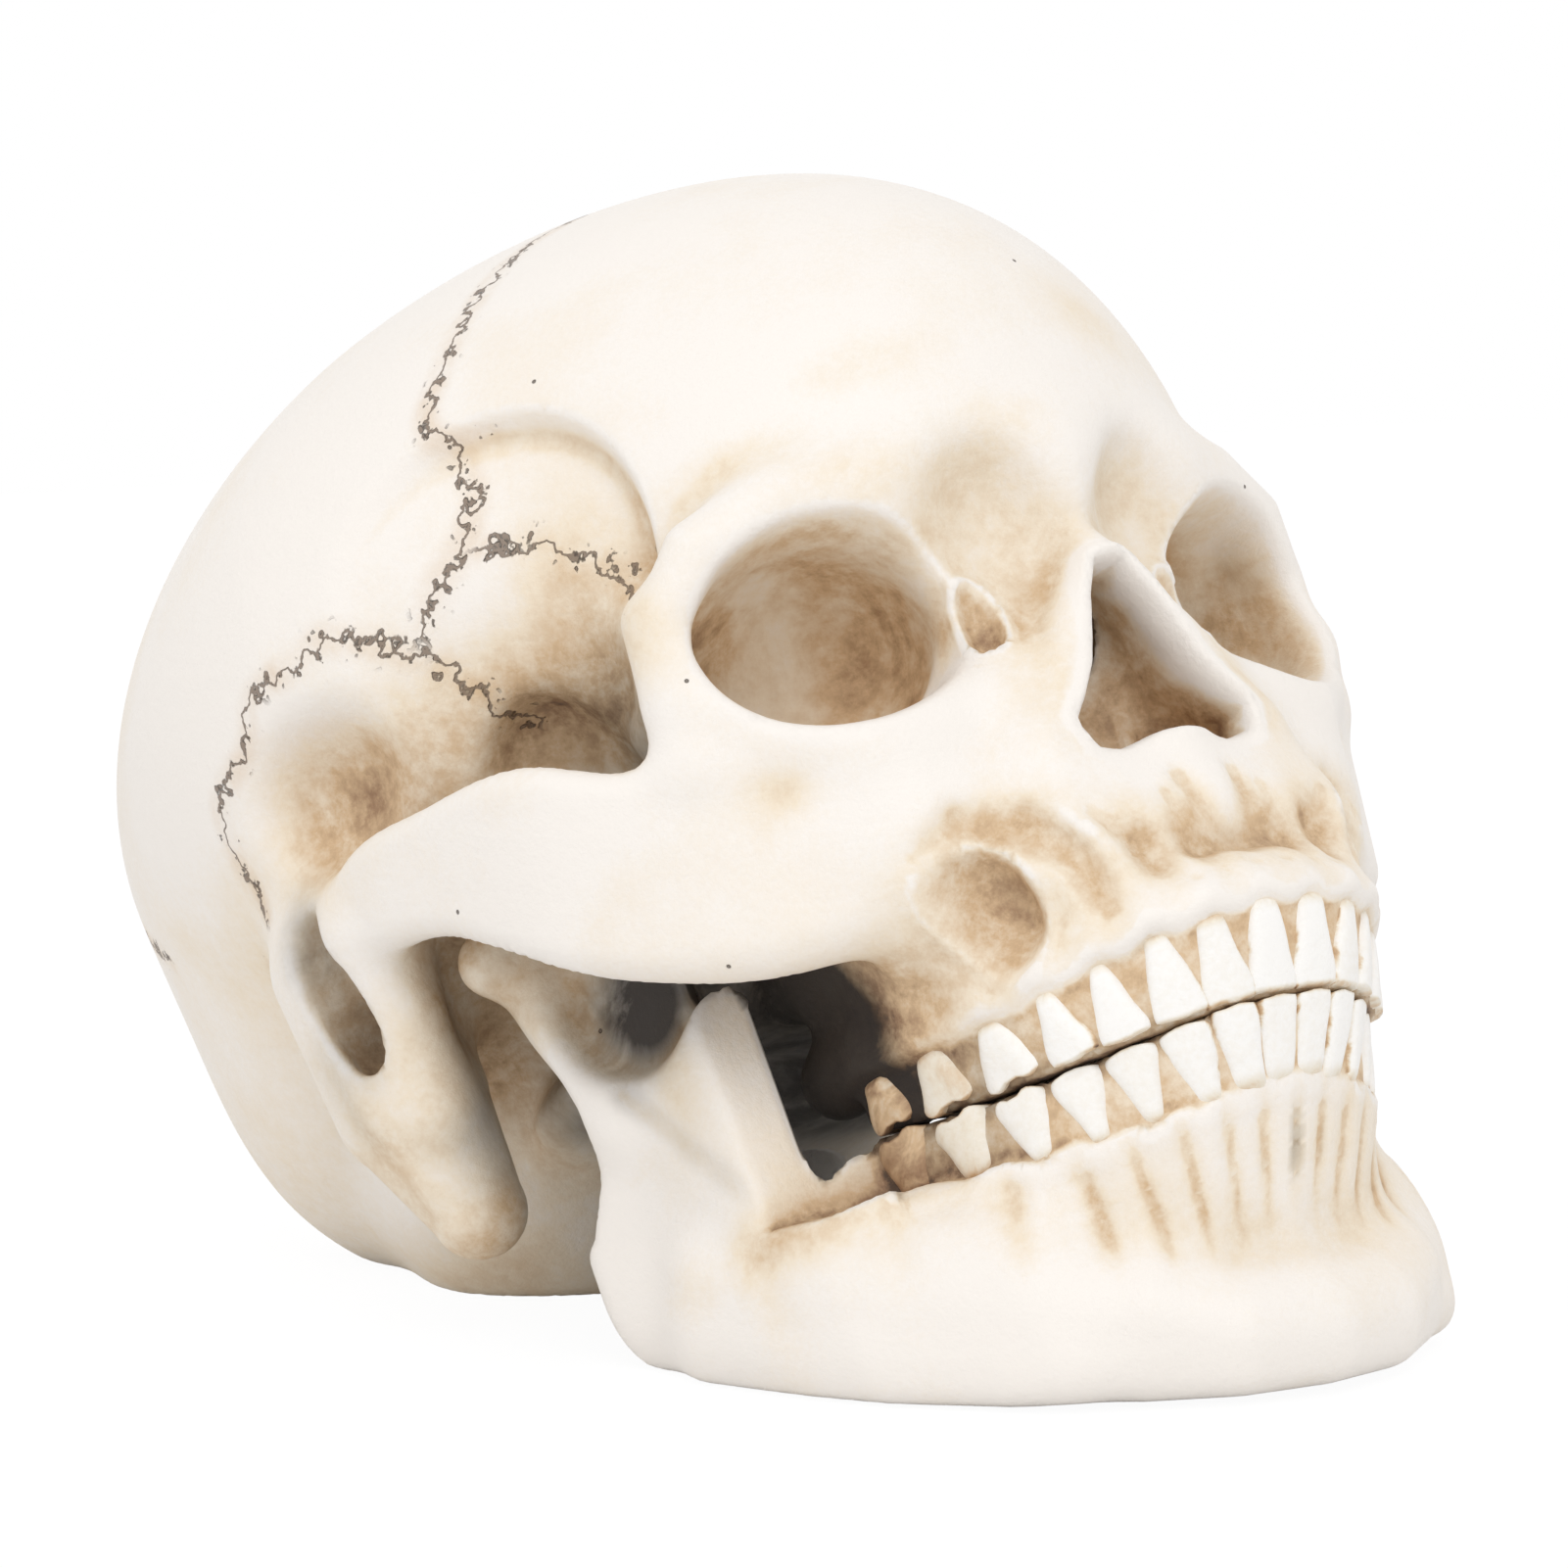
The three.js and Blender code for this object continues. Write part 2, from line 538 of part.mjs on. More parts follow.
const toRest = new THREE.Matrix4().makeRotationX(-restPitch);
toRest.premultiply(new THREE.Matrix4().makeTranslation(0, 0, baseDrop));
const rested = (point) => new THREE.Vector3(...point).applyMatrix4(toRest).toArray();

function castInRest(field, xs, ys, zs) {
  const { points, triangles } = castSurface(field, xs, ys, zs);
  return solidOf(points.map(rested), triangles);
}

// Everything below the surface it stands on
const skullReach = 2 * (vaultHalfLength + faceLength);
const underfloor = new THREE.BoxGeometry(skullReach, skullReach, overrun);
underfloor.translate(0, 0, -overrun / 2);
const underfloorSolid = solidOfGeometry(underfloor);

// Hollow of the brain case, one casting wall inside it
function hollowSolid() {
  const ball = new THREE.SphereGeometry(1, 20, 12);
  const position = ball.attributes.position;
  for (let n = 0; n < position.count; n += 1) {
    const way = new THREE.Vector3().fromBufferAttribute(position, n);
    let near = 0;
    let far = skullReach / 2;
    for (let turn = 0; turn < 24; turn += 1) {
      const middle = (near + far) / 2;
      const at = vaultCentre.map((value, m) => value + way.getComponent(m) * middle);
      const p = [Math.abs(at[0]), at[1], at[2]];
      const sunk = carve(carve(vaultField(p) + templeSink(p), ovoid(p, temple), wideBlend),
        ovoid(p, squama), easyBlend);
      const clearOfOrbit = -join(rod(p, orbit), ovoid(p, orbitEnd), closeBlend);
      if (Math.max(sunk, clearOfOrbit) < -vaultWall) near = middle;
      else far = middle;
    }
    const reached = vaultCentre.map((value, m) => value + way.getComponent(m) * near);
    position.setXYZ(n, ...reached);
  }
  ball.applyMatrix4(toRest);
  return solidOfGeometry(ball);
}

function foramenSolid() {
  const depth = vaultRise + overrun;
  const cut = new THREE.CylinderGeometry(foramenRadius, foramenRadius, depth, 20);
  cut.rotateX(Math.PI / 2);
  cut.translate(0, foramenBack, vaultRise - depth / 2);
  cut.applyMatrix4(toRest);
  return solidOfGeometry(cut);
}

function pinGeometry(side, gap) {
  const pin = new THREE.CylinderGeometry(pinRadius + gap, pinRadius + gap, pinLength + 2 * gap, 16);
  pin.rotateZ(Math.PI / 2);
  pin.translate(side * (pinInner + pinLength / 2), hingeBack, hingeRise);
  pin.applyMatrix4(toRest);
  return pin;
}

// Rows of teeth
const [rootLength, frontCrown, backCrown, lowerCrown, frontBite, backBite, biteBend, molarEnd] = sized([[
  rootShare, frontCrownShare, backCrownShare, lowerCrownShare,
  frontBiteShare, backBiteShare, biteBendShare, molarEndShare,
]])[0];

function toothGeometry(row, index, inward, gap) {
  const half = row.widths[index] / 2 - toothGap / 2 + gap;
  const deep = row.depths[index] / 2 + gap;
  const crown = row.crowns[index] + gap;
  const root = rootLength + gap;
  const flat = Math.cos(Math.PI / toothSides);
  const outline = row.outlineShares.map(([wide, onCrown, onRoot]) => (
    new THREE.Vector2(wide / flat, onCrown > 0 ? onCrown * crown + onRoot * root : -gap)));
  outline.unshift(new THREE.Vector2(0, outline[0].y));
  outline.push(new THREE.Vector2(0, outline[outline.length - 1].y));
  outline.reverse();
  const shape = new THREE.LatheGeometry(outline, toothSides, Math.PI / toothSides);
  shape.scale(half, 1, deep);
  shape.rotateX(Math.PI / 2);
  const position = shape.attributes.position;
  for (let n = 0; n < position.count; n += 1) {
    const tongueward = clamp((1 + inward * position.getY(n) / deep) / 2);
    position.setX(n, position.getX(n) * (1 - tongueTaperShare * tongueward));
  }
  return shape;
}

function rowOf(sizeShares, outlineShares, archShares, crownFront, crownBack, up) {
  const [widths, depths] = sized(sizeShares);
  const arch = new THREE.CatmullRomCurve3(sized(archShares).map(([x, y]) => new THREE.Vector3(x, y, 0)));
  const row = { widths, depths, outlineShares, crowns: [], places: [], up };
  const length = arch.getLength();
  let along = 0;
  widths.forEach((width, index) => {
    along += width / 2;
    const share = along / length;
    const point = arch.getPointAt(share);
    const tangent = arch.getTangentAt(share);
    const outward = new THREE.Vector3(tangent.y, -tangent.x, 0);
    const back = clamp((along - biteBend) / (molarEnd - biteBend));
    row.crowns.push(crownFront + (crownBack - crownFront) * back);
    point.addScaledVector(outward, -depths[index] / 2 - toothGap);
    point.z = frontBite + (backBite - frontBite) * back + up * biteGap / 2;
    row.places.push({ point, tangent });
    along += width / 2;
  });
  return row;
}

const upperRow = rowOf([upperWidthShares, upperDepthShares], upperOutlineShares, upperArchShares,
  frontCrown, backCrown, 1);
const lowerRow = rowOf([lowerWidthShares, lowerDepthShares], lowerOutlineShares, lowerArchShares,
  lowerCrown, lowerCrown, -1);

// A tooth stands on its bite point with its root toward its own jaw
function placedTooth(row, index, side, gap) {
  const { point, tangent } = row.places[index];
  const across = new THREE.Vector3(side * tangent.x, tangent.y, 0).normalize();
  const toRoot = new THREE.Vector3(0, 0, row.up);
  const inward = new THREE.Vector3().crossVectors(toRoot, across);
  const frame = new THREE.Matrix4().makeBasis(across, inward, toRoot);
  frame.setPosition(side * point.x, point.y, point.z);
  return toothGeometry(row, index, side * row.up, gap).applyMatrix4(frame).applyMatrix4(toRest);
}

function cutSockets(solid, row) {
  let cut = solid;
  row.widths.forEach((unused, index) => {
    for (const side of [-1, 1]) {
      cut = cut.subtract(solidOfGeometry(placedTooth(row, index, side, toothClearance)));
    }
  });
  return cut;
}

function condyleSolid(side, gap) {
  const ball = new THREE.CapsuleGeometry(condyleRadius + gap, condyleOuter - condyleInner, 5, 16);
  ball.rotateZ(Math.PI / 2);
  ball.translate(side * (condyleInner + condyleOuter) / 2, hingeBack, hingeRise);
  ball.applyMatrix4(toRest);
  return solidOfGeometry(ball);
}

function cutCondyles(solid) {
  return [-1, 1].reduce((cut, side) => cut.subtract(condyleSolid(side, condyleClearance)), solid);
}

function addCondyles(solid) {
  return [-1, 1].reduce((whole, side) => whole.add(condyleSolid(side, 0)), solid);
}

function cutBores(solid) {
  return [-1, 1].reduce((cut, side) => (
    cut.subtract(solidOfGeometry(pinGeometry(side, pinClearance)))), solid);
}

// Only the largest body of a cut casting is kept, so no loose crumb is left
function largest(solid) {
  return solid.decompose().reduce((best, piece) => (piece.volume() > best.volume() ? piece : best));
}

const widest = Math.max(vaultHalfWidth, ...cheek.map((row) => row[0] + row[4]));
const widthLine = widest + fineSpacing / 2;
const xs = [];
for (let at = fineSpacing / 2; at < widthLine + fineSpacing; at += fineSpacing) xs.push(at);
const acrossLines = [...xs.map((at) => -at).reverse(), ...xs];
const faceFront = -frontReachShare * faceLength;
const skullBottom = -baseReachShare * faceLength;
const browTop = brow[0][2] + brow[0][3];
const condyleTop = hingeRise + condyleRadius + jawClearance;
const fineBack = mastoid[0][1] + mastoid[0][3];
const backLines = gridLines(faceFront, vaultSetBack + vaultHalfLength + wideBlend, faceFront, fineBack);
const upLines = gridLines(skullBottom, vaultRise + vaultHalfHeight + wideBlend, skullBottom, browTop);
const jawBackLines = gridLines(faceFront, 0, faceFront, 0);
const jawUpLines = gridLines(faceFront, condyleTop, faceFront, condyleTop);

const skull = new THREE.Group();
const boneLook = new THREE.MeshStandardMaterial({ color: boneColour, roughness: 0.55, metalness: 0 });
const toothLook = new THREE.MeshStandardMaterial({ color: toothColour, roughness: 0.4, metalness: 0 });
const pinLook = new THREE.MeshStandardMaterial({ color: pinColour, roughness: 0.3, metalness: 1 });

function add(name, geometry, material) {
  const mesh = new THREE.Mesh(geometry, material);
  mesh.name = name;
  skull.add(mesh);
}

let cranium = castInRest(craniumField, acrossLines, backLines, upLines);
cranium = cranium.subtract(hollowSolid()).subtract(foramenSolid()).subtract(underfloorSolid);
cranium = largest(cutBores(cutCondyles(cutSockets(cranium, upperRow))));
add('cranium', geometryOf(cranium), boneLook);

let mandible = castInRest(jawField, acrossLines, jawBackLines, jawUpLines).subtract(underfloorSolid);
mandible = largest(cutBores(addCondyles(cutSockets(mandible, lowerRow))));
add('mandible', geometryOf(mandible), boneLook);

const toothKinds = [
  'central_incisor', 'lateral_incisor', 'canine', 'first_premolar',
  'second_premolar', 'first_molar', 'second_molar', 'third_molar',
];
for (const [rowName, row] of [['upper', upperRow], ['lower', lowerRow]]) {
  for (const [sideName, side] of [['right', -1], ['left', 1]]) {
    toothKinds.forEach((kind, index) => {
      const tooth = solidOfGeometry(placedTooth(row, index, side, 0));
      add(`${rowName}_${sideName}_${kind}`, geometryOf(tooth), toothLook);
    });
  }
}

for (const [sideName, side] of [['right', -1], ['left', 1]]) {
  add(`${sideName}_jaw_pin`, geometryOf(solidOfGeometry(pinGeometry(side, 0))), pinLook);
}

// The origin is under the middle of the resting skull, on the surface it stands on
const bounds = new THREE.Box3().setFromObject(skull);
skull.position.y = -(bounds.min.y + bounds.max.y) / 2;

export default skull;
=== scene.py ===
import bpy
import numpy as np
import openvdb
from mathutils import Matrix, Vector


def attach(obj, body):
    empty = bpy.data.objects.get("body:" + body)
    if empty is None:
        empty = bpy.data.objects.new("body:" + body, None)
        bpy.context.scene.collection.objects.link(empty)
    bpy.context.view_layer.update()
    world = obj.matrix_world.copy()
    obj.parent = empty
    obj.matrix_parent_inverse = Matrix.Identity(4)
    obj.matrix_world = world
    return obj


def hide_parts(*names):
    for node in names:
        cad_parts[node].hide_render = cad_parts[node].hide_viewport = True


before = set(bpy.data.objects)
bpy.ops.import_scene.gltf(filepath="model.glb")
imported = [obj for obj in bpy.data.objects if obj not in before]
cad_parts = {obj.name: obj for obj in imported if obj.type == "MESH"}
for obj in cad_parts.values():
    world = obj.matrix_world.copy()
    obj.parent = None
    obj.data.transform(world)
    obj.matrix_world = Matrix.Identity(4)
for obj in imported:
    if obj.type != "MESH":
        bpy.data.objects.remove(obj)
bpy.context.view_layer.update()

# Sizes are in metres. The skull frame has its origin midway between the ear openings,
# with x to the skull's left, y to the back and z up while the head is level.
MM = 0.001
EAR_TO_TEETH = 100.0
REST_PITCH = np.radians(29.3)
BASE_DROP = 47.2
MIDDLE_SHIFT = 1.286
VAULT_HALF = (70.4, 95.0, 58.2)
VAULT_CENTRE = (0.0, 4.6, 44.8)
TEMPLE_NARROWING, NARROWING_CURVE = 0.19, 1.3
SHARP, TIGHT, CLOSE, EASY, WIDE = 0.6, 3.0, 5.0, 8.0, 14.0
JAW_CLEARANCE = 1.5
JAW_PITCH = np.radians(32.3)


def sized(rows):
    return np.array(rows, dtype=float) * EAR_TO_TEETH


# Field maths: a field is negative inside, in millimetres, over arrays of points.
# A blend or a width beside a form is in millimetres too.
def smooth(t):
    t = np.clip(t, 0, 1)
    return t * t * (3 - 2 * t)


def rises(value, start, width):
    return smooth((value - start) / width)


def falls(value, end, width):
    return smooth((end - value) / width)


def bell(value, middle, width):
    return np.exp(-((value - middle) / width) ** 2)


def join(a, b, blend):
    t = np.clip(0.5 + 0.5 * (b - a) / blend, 0, 1)
    return b + (a - b) * t - blend * t * (1 - t)


def carve(a, b, blend):
    return -join(-a, b, blend)


def ovoid(p, rows):
    (cx, cy, cz), (rx, ry, rz) = rows
    u, v, w = (p[0] - cx) / rx, (p[1] - cy) / ry, (p[2] - cz) / rz
    near = np.sqrt(u * u + v * v + w * w)
    slope = np.sqrt((u / rx) ** 2 + (v / ry) ** 2 + (w / rz) ** 2) + 1e-9
    return near * (near - 1) / slope


def block(p, rows, rounding):
    centre, halves = rows
    u, v, w = (abs(p[i] - centre[i]) - halves[i] + rounding for i in range(3))
    outside = np.sqrt(np.maximum(u, 0) ** 2 + np.maximum(v, 0) ** 2 + np.maximum(w, 0) ** 2)
    return outside + np.minimum(np.maximum(np.maximum(u, v), w), 0) - rounding


def rod(p, path):
    nearest = None
    for (ax, ay, az, ar), (bx, by, bz, br) in zip(path[:-1], path[1:]):
        dx, dy, dz = bx - ax, by - ay, bz - az
        along = (p[0] - ax) * dx + (p[1] - ay) * dy + (p[2] - az) * dz
        t = np.clip(along / (dx * dx + dy * dy + dz * dz), 0, 1)
        away = np.sqrt((p[0] - ax - t * dx) ** 2 + (p[1] - ay - t * dy) ** 2 + (p[2] - az - t * dz) ** 2)
        away = away - ar - (br - ar) * t
        nearest = away if nearest is None else np.minimum(nearest, away)
    return nearest


def wall(p, path):
    nearest = None
    for (ax, ay, alow, ahigh, ar), (bx, by, blow, bhigh, br) in zip(path[:-1], path[1:]):
        dx, dy = bx - ax, by - ay
        t = np.clip(((p[0] - ax) * dx + (p[1] - ay) * dy) / (dx * dx + dy * dy), 0, 1)
        half = ar + (br - ar) * t
        low = alow + (blow - alow) * t + half
        high = ahigh + (bhigh - ahigh) * t - half
        past = np.maximum(np.maximum(low - p[2], p[2] - high), 0)
        away = np.sqrt((p[0] - ax - t * dx) ** 2 + (p[1] - ay - t * dy) ** 2 + past ** 2) - half
        nearest = away if nearest is None else np.minimum(nearest, away)
    return nearest


def tip(p, pitch):
    c, s = np.cos(pitch), np.sin(pitch)
    return p[0], p[1] * c + p[2] * s, p[2] * c - p[1] * s


def curve_through(points, per_span=24):
    ends = np.vstack([2 * points[0] - points[1], points, 2 * points[-1] - points[-2]])
    t = np.linspace(0, 1, per_span, endpoint=False)[:, None]
    spans = [
        0.5 * (2 * b + (c - a) * t + (2 * a - 5 * b + 4 * c - d) * t ** 2 + (3 * b - a - 3 * c + d) * t ** 3)
        for a, b, c, d in zip(ends[:-3], ends[1:-2], ends[2:-1], ends[3:])]
    return np.vstack(spans + [points[-1:]])


# Shares of EAR_TO_TEETH. A path row is across, back, up and radius.
# A rounded form is two rows: its centre and its half sizes.
forehead = sized([[0, -0.43, 0.32], [0.496, 0.486, 0.473]])
occiput = sized([[0, 0.5, 0.147], [0.498, 0.499, 0.4]])
temple = sized([[0.78, -0.44, 0.14], [0.26, 0.26, 0.24]])
squama = sized([[0.7, -0.26, 0.06], [0.14, 0.25, 0.19]])
arch_hollow = sized([[0.71, -0.06, 0.26], [0.13, 0.16, 0.11]])
face_core = sized([[0, -0.44, 0], [0.32, 0.26, 0.24]])
brow = sized([
    [0, -0.84, 0.29, 0.09], [0.11, -0.84, 0.28, 0.075], [0.24, -0.8, 0.29, 0.06],
    [0.36, -0.76, 0.295, 0.05], [0.46, -0.71, 0.26, 0.045], [0.51, -0.665, 0.19, 0.038],
    [0.52, -0.645, 0.09, 0.036], [0.52, -0.64, 0.02, 0.04]])
nose = sized([[0, -0.8, 0.22, 0.07], [0, -0.795, 0.16, 0.06], [0, -0.845, 0.09, 0.055]])
nose_side = sized([
    [0.07, -0.79, 0.15, 0.05], [0.12, -0.8, 0.04, 0.055], [0.165, -0.82, -0.08, 0.06],
    [0.19, -0.87, -0.26, 0.06]])
nose_rim = sized([
    [0, -0.885, 0.13, 0.03], [0.055, -0.885, 0.08, 0.03], [0.1, -0.885, 0, 0.03],
    [0.13, -0.88, -0.06, 0.03], [0.165, -0.865, -0.11, 0.035], [0.12, -0.87, -0.155, 0.035],
    [0, -0.885, -0.16, 0.035]])
eye_floor = sized([
    [0.16, -0.81, -0.02, 0.045], [0.26, -0.79, -0.04, 0.05], [0.36, -0.765, -0.04, 0.05],
    [0.45, -0.715, 0, 0.04], [0.51, -0.67, 0.08, 0.036]])
spine = sized([[0, -0.9, -0.14, 0.025], [0, -0.86, -0.17, 0.05]])
upper_jaw = sized([[0, -0.64, -0.2], [0.3, 0.24, 0.24]])
cheek_fill = sized([[0.27, -0.71, -0.16], [0.14, 0.12, 0.14]])
orbit_floor = sized([[0.31, -0.62, -0.12], [0.13, 0.13, 0.1]])
upper_gum = sized([
    [0, -0.955, -0.375, 0.052], [0.1, -0.94, -0.375, 0.052], [0.155, -0.905, -0.38, 0.052],
    [0.195, -0.855, -0.385, 0.052], [0.228, -0.8, -0.39, 0.052], [0.255, -0.725, -0.385, 0.052],
    [0.273, -0.62, -0.37, 0.052], [0.28, -0.5, -0.355, 0.052], [0.28, -0.4, -0.345, 0.052]])
upper_root = sized([
    [0, -0.9, -0.24, 0.055], [0.1, -0.885, -0.25, 0.055], [0.163, -0.838, -0.26, 0.056],
    [0.21, -0.768, -0.27, 0.055], [0.255, -0.68, -0.26, 0.06], [0.28, -0.55, -0.24, 0.06],
    [0.27, -0.46, -0.22, 0.06]])
mastoid = sized([[0.57, 0.14, 0.1, 0.11], [0.55, 0.14, -0.1, 0.105], [0.51, 0.13, -0.27, 0.065]])
skull_base = sized([[0, 0.05, -0.16], [0.38, 0.3, 0.1]])
nape = sized([[0, 0.42, -0.13], [0.41, 0.29, 0.25]])
orbit = sized([[0.405, -0.95, 0.105, 0.175], [0.325, -0.69, 0.12, 0.155]])
orbit_end = sized([[0.3, -0.64, 0.12], [0.16, 0.13, 0.15]])
ORBIT_LEVEL, ORBIT_SQUASH = 12.5, 1.22
nose_half = [[0.02, 0.112], [0.045, 0.065], [0.062, 0.015], [0.078, -0.03], [0.108, -0.07], [0.134, -0.1],
             [0.124, -0.13], [0.085, -0.138], [0.035, -0.125]]
nose_outline = sized(nose_half + [[-x, z] for x, z in nose_half[::-1]])
NOSE_WIDENING, NOSE_FLOOR = 3.0, 73.0
NOSE_MOUTH, NOSE_FADE = 89.0, 14.0
cheek_gap = sized([[0.48, -0.31, -0.08], [0.13, 0.15, 0.34]])
palate = sized([[0, -0.62, -0.42], [0.205, 0.28, 0.14]])
boss = sized([[0.26, -0.11, -0.015, 0.045], [0.395, -0.11, -0.015, 0.045]])
VAULT_WALL = 6.0
FORAMEN_BACK, FORAMEN_RADIUS = 26.0, 15.0
TEMPLE_RIM = (-40.0, 37.0, 25.0, 6.0)  # back, up, radius, softness
TEMPLE_DEPTH, TEMPLE_START, TEMPLE_FADE = 5.0, 20.0, 25.0

# A wall row is across, back, lower edge, upper edge and half thickness.
orbit_wall = sized([
    [0.505, -0.63, -0.02, 0.24, 0.032], [0.41, -0.51, -0.06, 0.3, 0.04],
    [0.35, -0.43, -0.1, 0.34, 0.05]])
cheek = sized([
    [0.32, -0.75, -0.26, -0.02, 0.05], [0.43, -0.71, -0.28, -0.01, 0.045],
    [0.52, -0.64, -0.27, 0.01, 0.042], [0.585, -0.545, -0.225, 0.045, 0.038],
    [0.63, -0.42, -0.15, 0.115, 0.036], [0.645, -0.24, -0.02, 0.15, 0.034],
    [0.64, -0.09, 0.03, 0.175, 0.038], [0.6, 0.06, 0.05, 0.17, 0.06]])
CHEEK_LEAN_IN, CHEEK_LEAN_BACK, CHEEK_LEVEL = 0.086, 0.114, 8.0
cheek = curve_through(cheek, per_span=9)
ramus = sized([
    [0.475, -0.09, -0.62, -0.39, 0.04], [0.465, -0.2, -0.75, -0.2, 0.036],
    [0.45, -0.35, -0.82, -0.2, 0.036], [0.42, -0.455, -0.88, -0.185, 0.036],
    [0.35, -0.53, -0.9, -0.56, 0.05], [0.29, -0.62, -0.9, -0.64, 0.055]])
ramus_back = sized([[0.3, -0.015, -0.27, 0.125], [0.7, -0.015, -0.27, 0.125]])
# Web across the jaw notch, painted near black as shade by the first jaw spot of dark paint and painted
# shade.
notch_web = sized([
    [0.462, -0.17, -0.42, -0.05, 0.014], [0.452, -0.25, -0.42, -0.09, 0.014],
    [0.44, -0.36, -0.42, -0.1, 0.014]])
neck = sized([[0.475, -0.21, -0.29, 0.05], [0.48, -0.16, -0.16, 0.05], [0.49, -0.11, -0.02, 0.045]])
notch = sized([[0.3, -0.3, -0.14, 0.12], [0.7, -0.3, -0.14, 0.12]])
condyle = sized([[0.44, -0.11, -0.015, 0.045], [0.53, -0.11, -0.015, 0.045]])
jaw_body = sized([
    [0.46, -0.52, -0.52, -0.26, 0.055], [0.43, -0.62, -0.52, -0.26, 0.06], [0.37, -0.76, -0.52, -0.24, 0.07],
    [0.29, -0.9, -0.52, -0.24, 0.07], [0.2, -1.025, -0.52, -0.24, 0.07], [0.11, -1.09, -0.54, -0.26, 0.07],
    [0, -1.11, -0.54, -0.26, 0.07]])
lower_gum = sized([
    [0, -1.025, -0.34, 0.015, 0.05], [0.1, -1.005, -0.34, 0, 0.05], [0.155, -0.975, -0.34, -0.02, 0.05],
    [0.195, -0.93, -0.34, -0.04, 0.05], [0.228, -0.885, -0.34, -0.06, 0.05],
    [0.255, -0.83, -0.36, -0.09, 0.055], [0.27, -0.735, -0.38, -0.13, 0.055],
    [0.305, -0.64, -0.38, -0.155, 0.055]])
CHIN_SLOPE, CHIN_START = 0.13, 82.0
SOLE_DEPTH, SOLE_BLEND = 1.6, 10.0


# Rows of teeth. Stations run along the outer face of the row, from the middle to the back.
ARCH_MIDDLE = -55.0
KINDS = ("central_incisor", "lateral_incisor", "canine", "first_premolar", "second_premolar",
         "first_molar", "second_molar", "third_molar")
BROWNED = (0.0, 0.0, 0.0, 0.02, 0.03, 0.06, 0.34, 0.66)
# The gum, with 1 for the upper row and -1 for the lower one
ROOT_RISE = {1: 0.6, -1: 0.8}
LIP_RISE = {1: 0.6, -1: 0.3}
LIP_DROP, LIP_WIDTH = 1.6, 1.5
GUM_EDGE, GUM_SCALLOP, GUM_CUT = 0.1, 0.14, 0.9
# Sheets: depth behind the tooth faces, half thickness, share below the gum line, reach past the bite
WEB_SINK, WEB_SINK_AT_BITE, WEB_HALF, WEB_FOOT, WEB_REACH = 2.8, 0.3, 2.0, 0.3, 0.14
SHIELD_SINK, SHIELD_HALF, SHIELD_FOOT, SHIELD_REACH = 11.2, 0.7, 0.4, 1.3


def tooth_row(name, up, face, widths, depths, stations, gum, bite, gum_out, bite_out, necks):
    line = curve_through(sized(face))
    arc = np.concatenate([[0], np.cumsum(np.linalg.norm(np.diff(line, axis=0), axis=1))])
    widths = np.array(widths)
    return {
        "name": name, "up": up, "line": line, "arc": arc, "widths": widths, "depths": depths,
        "turn": np.arctan2(line[:, 0], ARCH_MIDDLE - line[:, 1]),
        "reach": np.hypot(line[:, 0], line[:, 1] - ARCH_MIDDLE),
        "centres": np.cumsum(widths) - widths / 2,
        "stations": stations, "gum": gum, "bite": bite, "gum_out": gum_out, "bite_out": bite_out,
        "necks": necks}


upper_row = tooth_row(
    "upper", 1,
    [[0, -0.99], [0.06, -0.985], [0.12, -0.965], [0.17, -0.93], [0.225, -0.875], [0.27, -0.815],
     [0.298, -0.725], [0.315, -0.615], [0.325, -0.495], [0.325, -0.38]],
    [7.8, 7.2, 7.6, 7.6, 7.8, 11, 11.2, 10], [6.6, 6.2, 7, 7.4, 7.6, 8.6, 8.8, 8],
    [4, 12, 19.5, 28.5, 37, 46.8, 58, 69.5],
    [-40, -40.6, -40.6, -41.6, -42, -41.3, -39.8, -38.6],
    [-50.3, -50.4, -50.6, -50.6, -50.2, -48.9, -47, -44.6],
    [1.0, 0.9, 0.8, 0.5, 0.3, 0.1, 0, 0], [-3.2, -3, -2.4, -1.8, -1.4, -1.1, -0.9, -0.9],
    [0.64, 0.58, 0.5, 0.4, 0.42, 0.5, 0.56, 0.6])
lower_row = tooth_row(
    "lower", -1,
    [[0, -0.945], [0.06, -0.938], [0.12, -0.91], [0.165, -0.87], [0.22, -0.812], [0.262, -0.752],
     [0.29, -0.665], [0.308, -0.56], [0.32, -0.44], [0.32, -0.34]],
    [6, 6.4, 7, 7.4, 7.6, 9.4, 10.8, 10.6], [5.6, 5.8, 6.6, 7, 7.2, 8.4, 8.6, 8],
    [4, 12, 19.5, 28.5, 37, 46.8, 58, 69.5],
    [-59.3, -59.9, -60.4, -60.1, -59.2, -57.1, -54.9, -53],
    [-50.75, -50.85, -51.05, -51, -50.4, -48.85, -46.6, -44.2],
    [-4.4, -4, -3, -2, -1.2, -0.6, -0.4, -0.4], [1.2, 1.1, 1.0, 0.6, 0.2, 0, 0, 0],
    [0.82, 0.7, 0.5, 0.38, 0.38, 0.46, 0.56, 0.6])


def row_place(row, p):
    """Station, distance in front of the tooth faces, and height from gum line 0 to bite 1."""
    turn = np.arctan2(np.abs(p[0]), ARCH_MIDDLE - p[1])
    arc = np.interp(turn, row["turn"], row["arc"])
    out = np.hypot(p[0], p[1] - ARCH_MIDDLE) - np.interp(turn, row["turn"], row["reach"])
    gum, bite, gum_out, bite_out = (
        np.interp(arc, row["stations"], row[key]) for key in ("gum", "bite", "gum_out", "bite_out"))
    height = (p[2] - gum) / (bite - gum)
    lean = gum_out + (bite_out - gum_out) * np.clip(height, -0.6, 1)
    return arc, out - lean, height, np.abs(bite - gum)


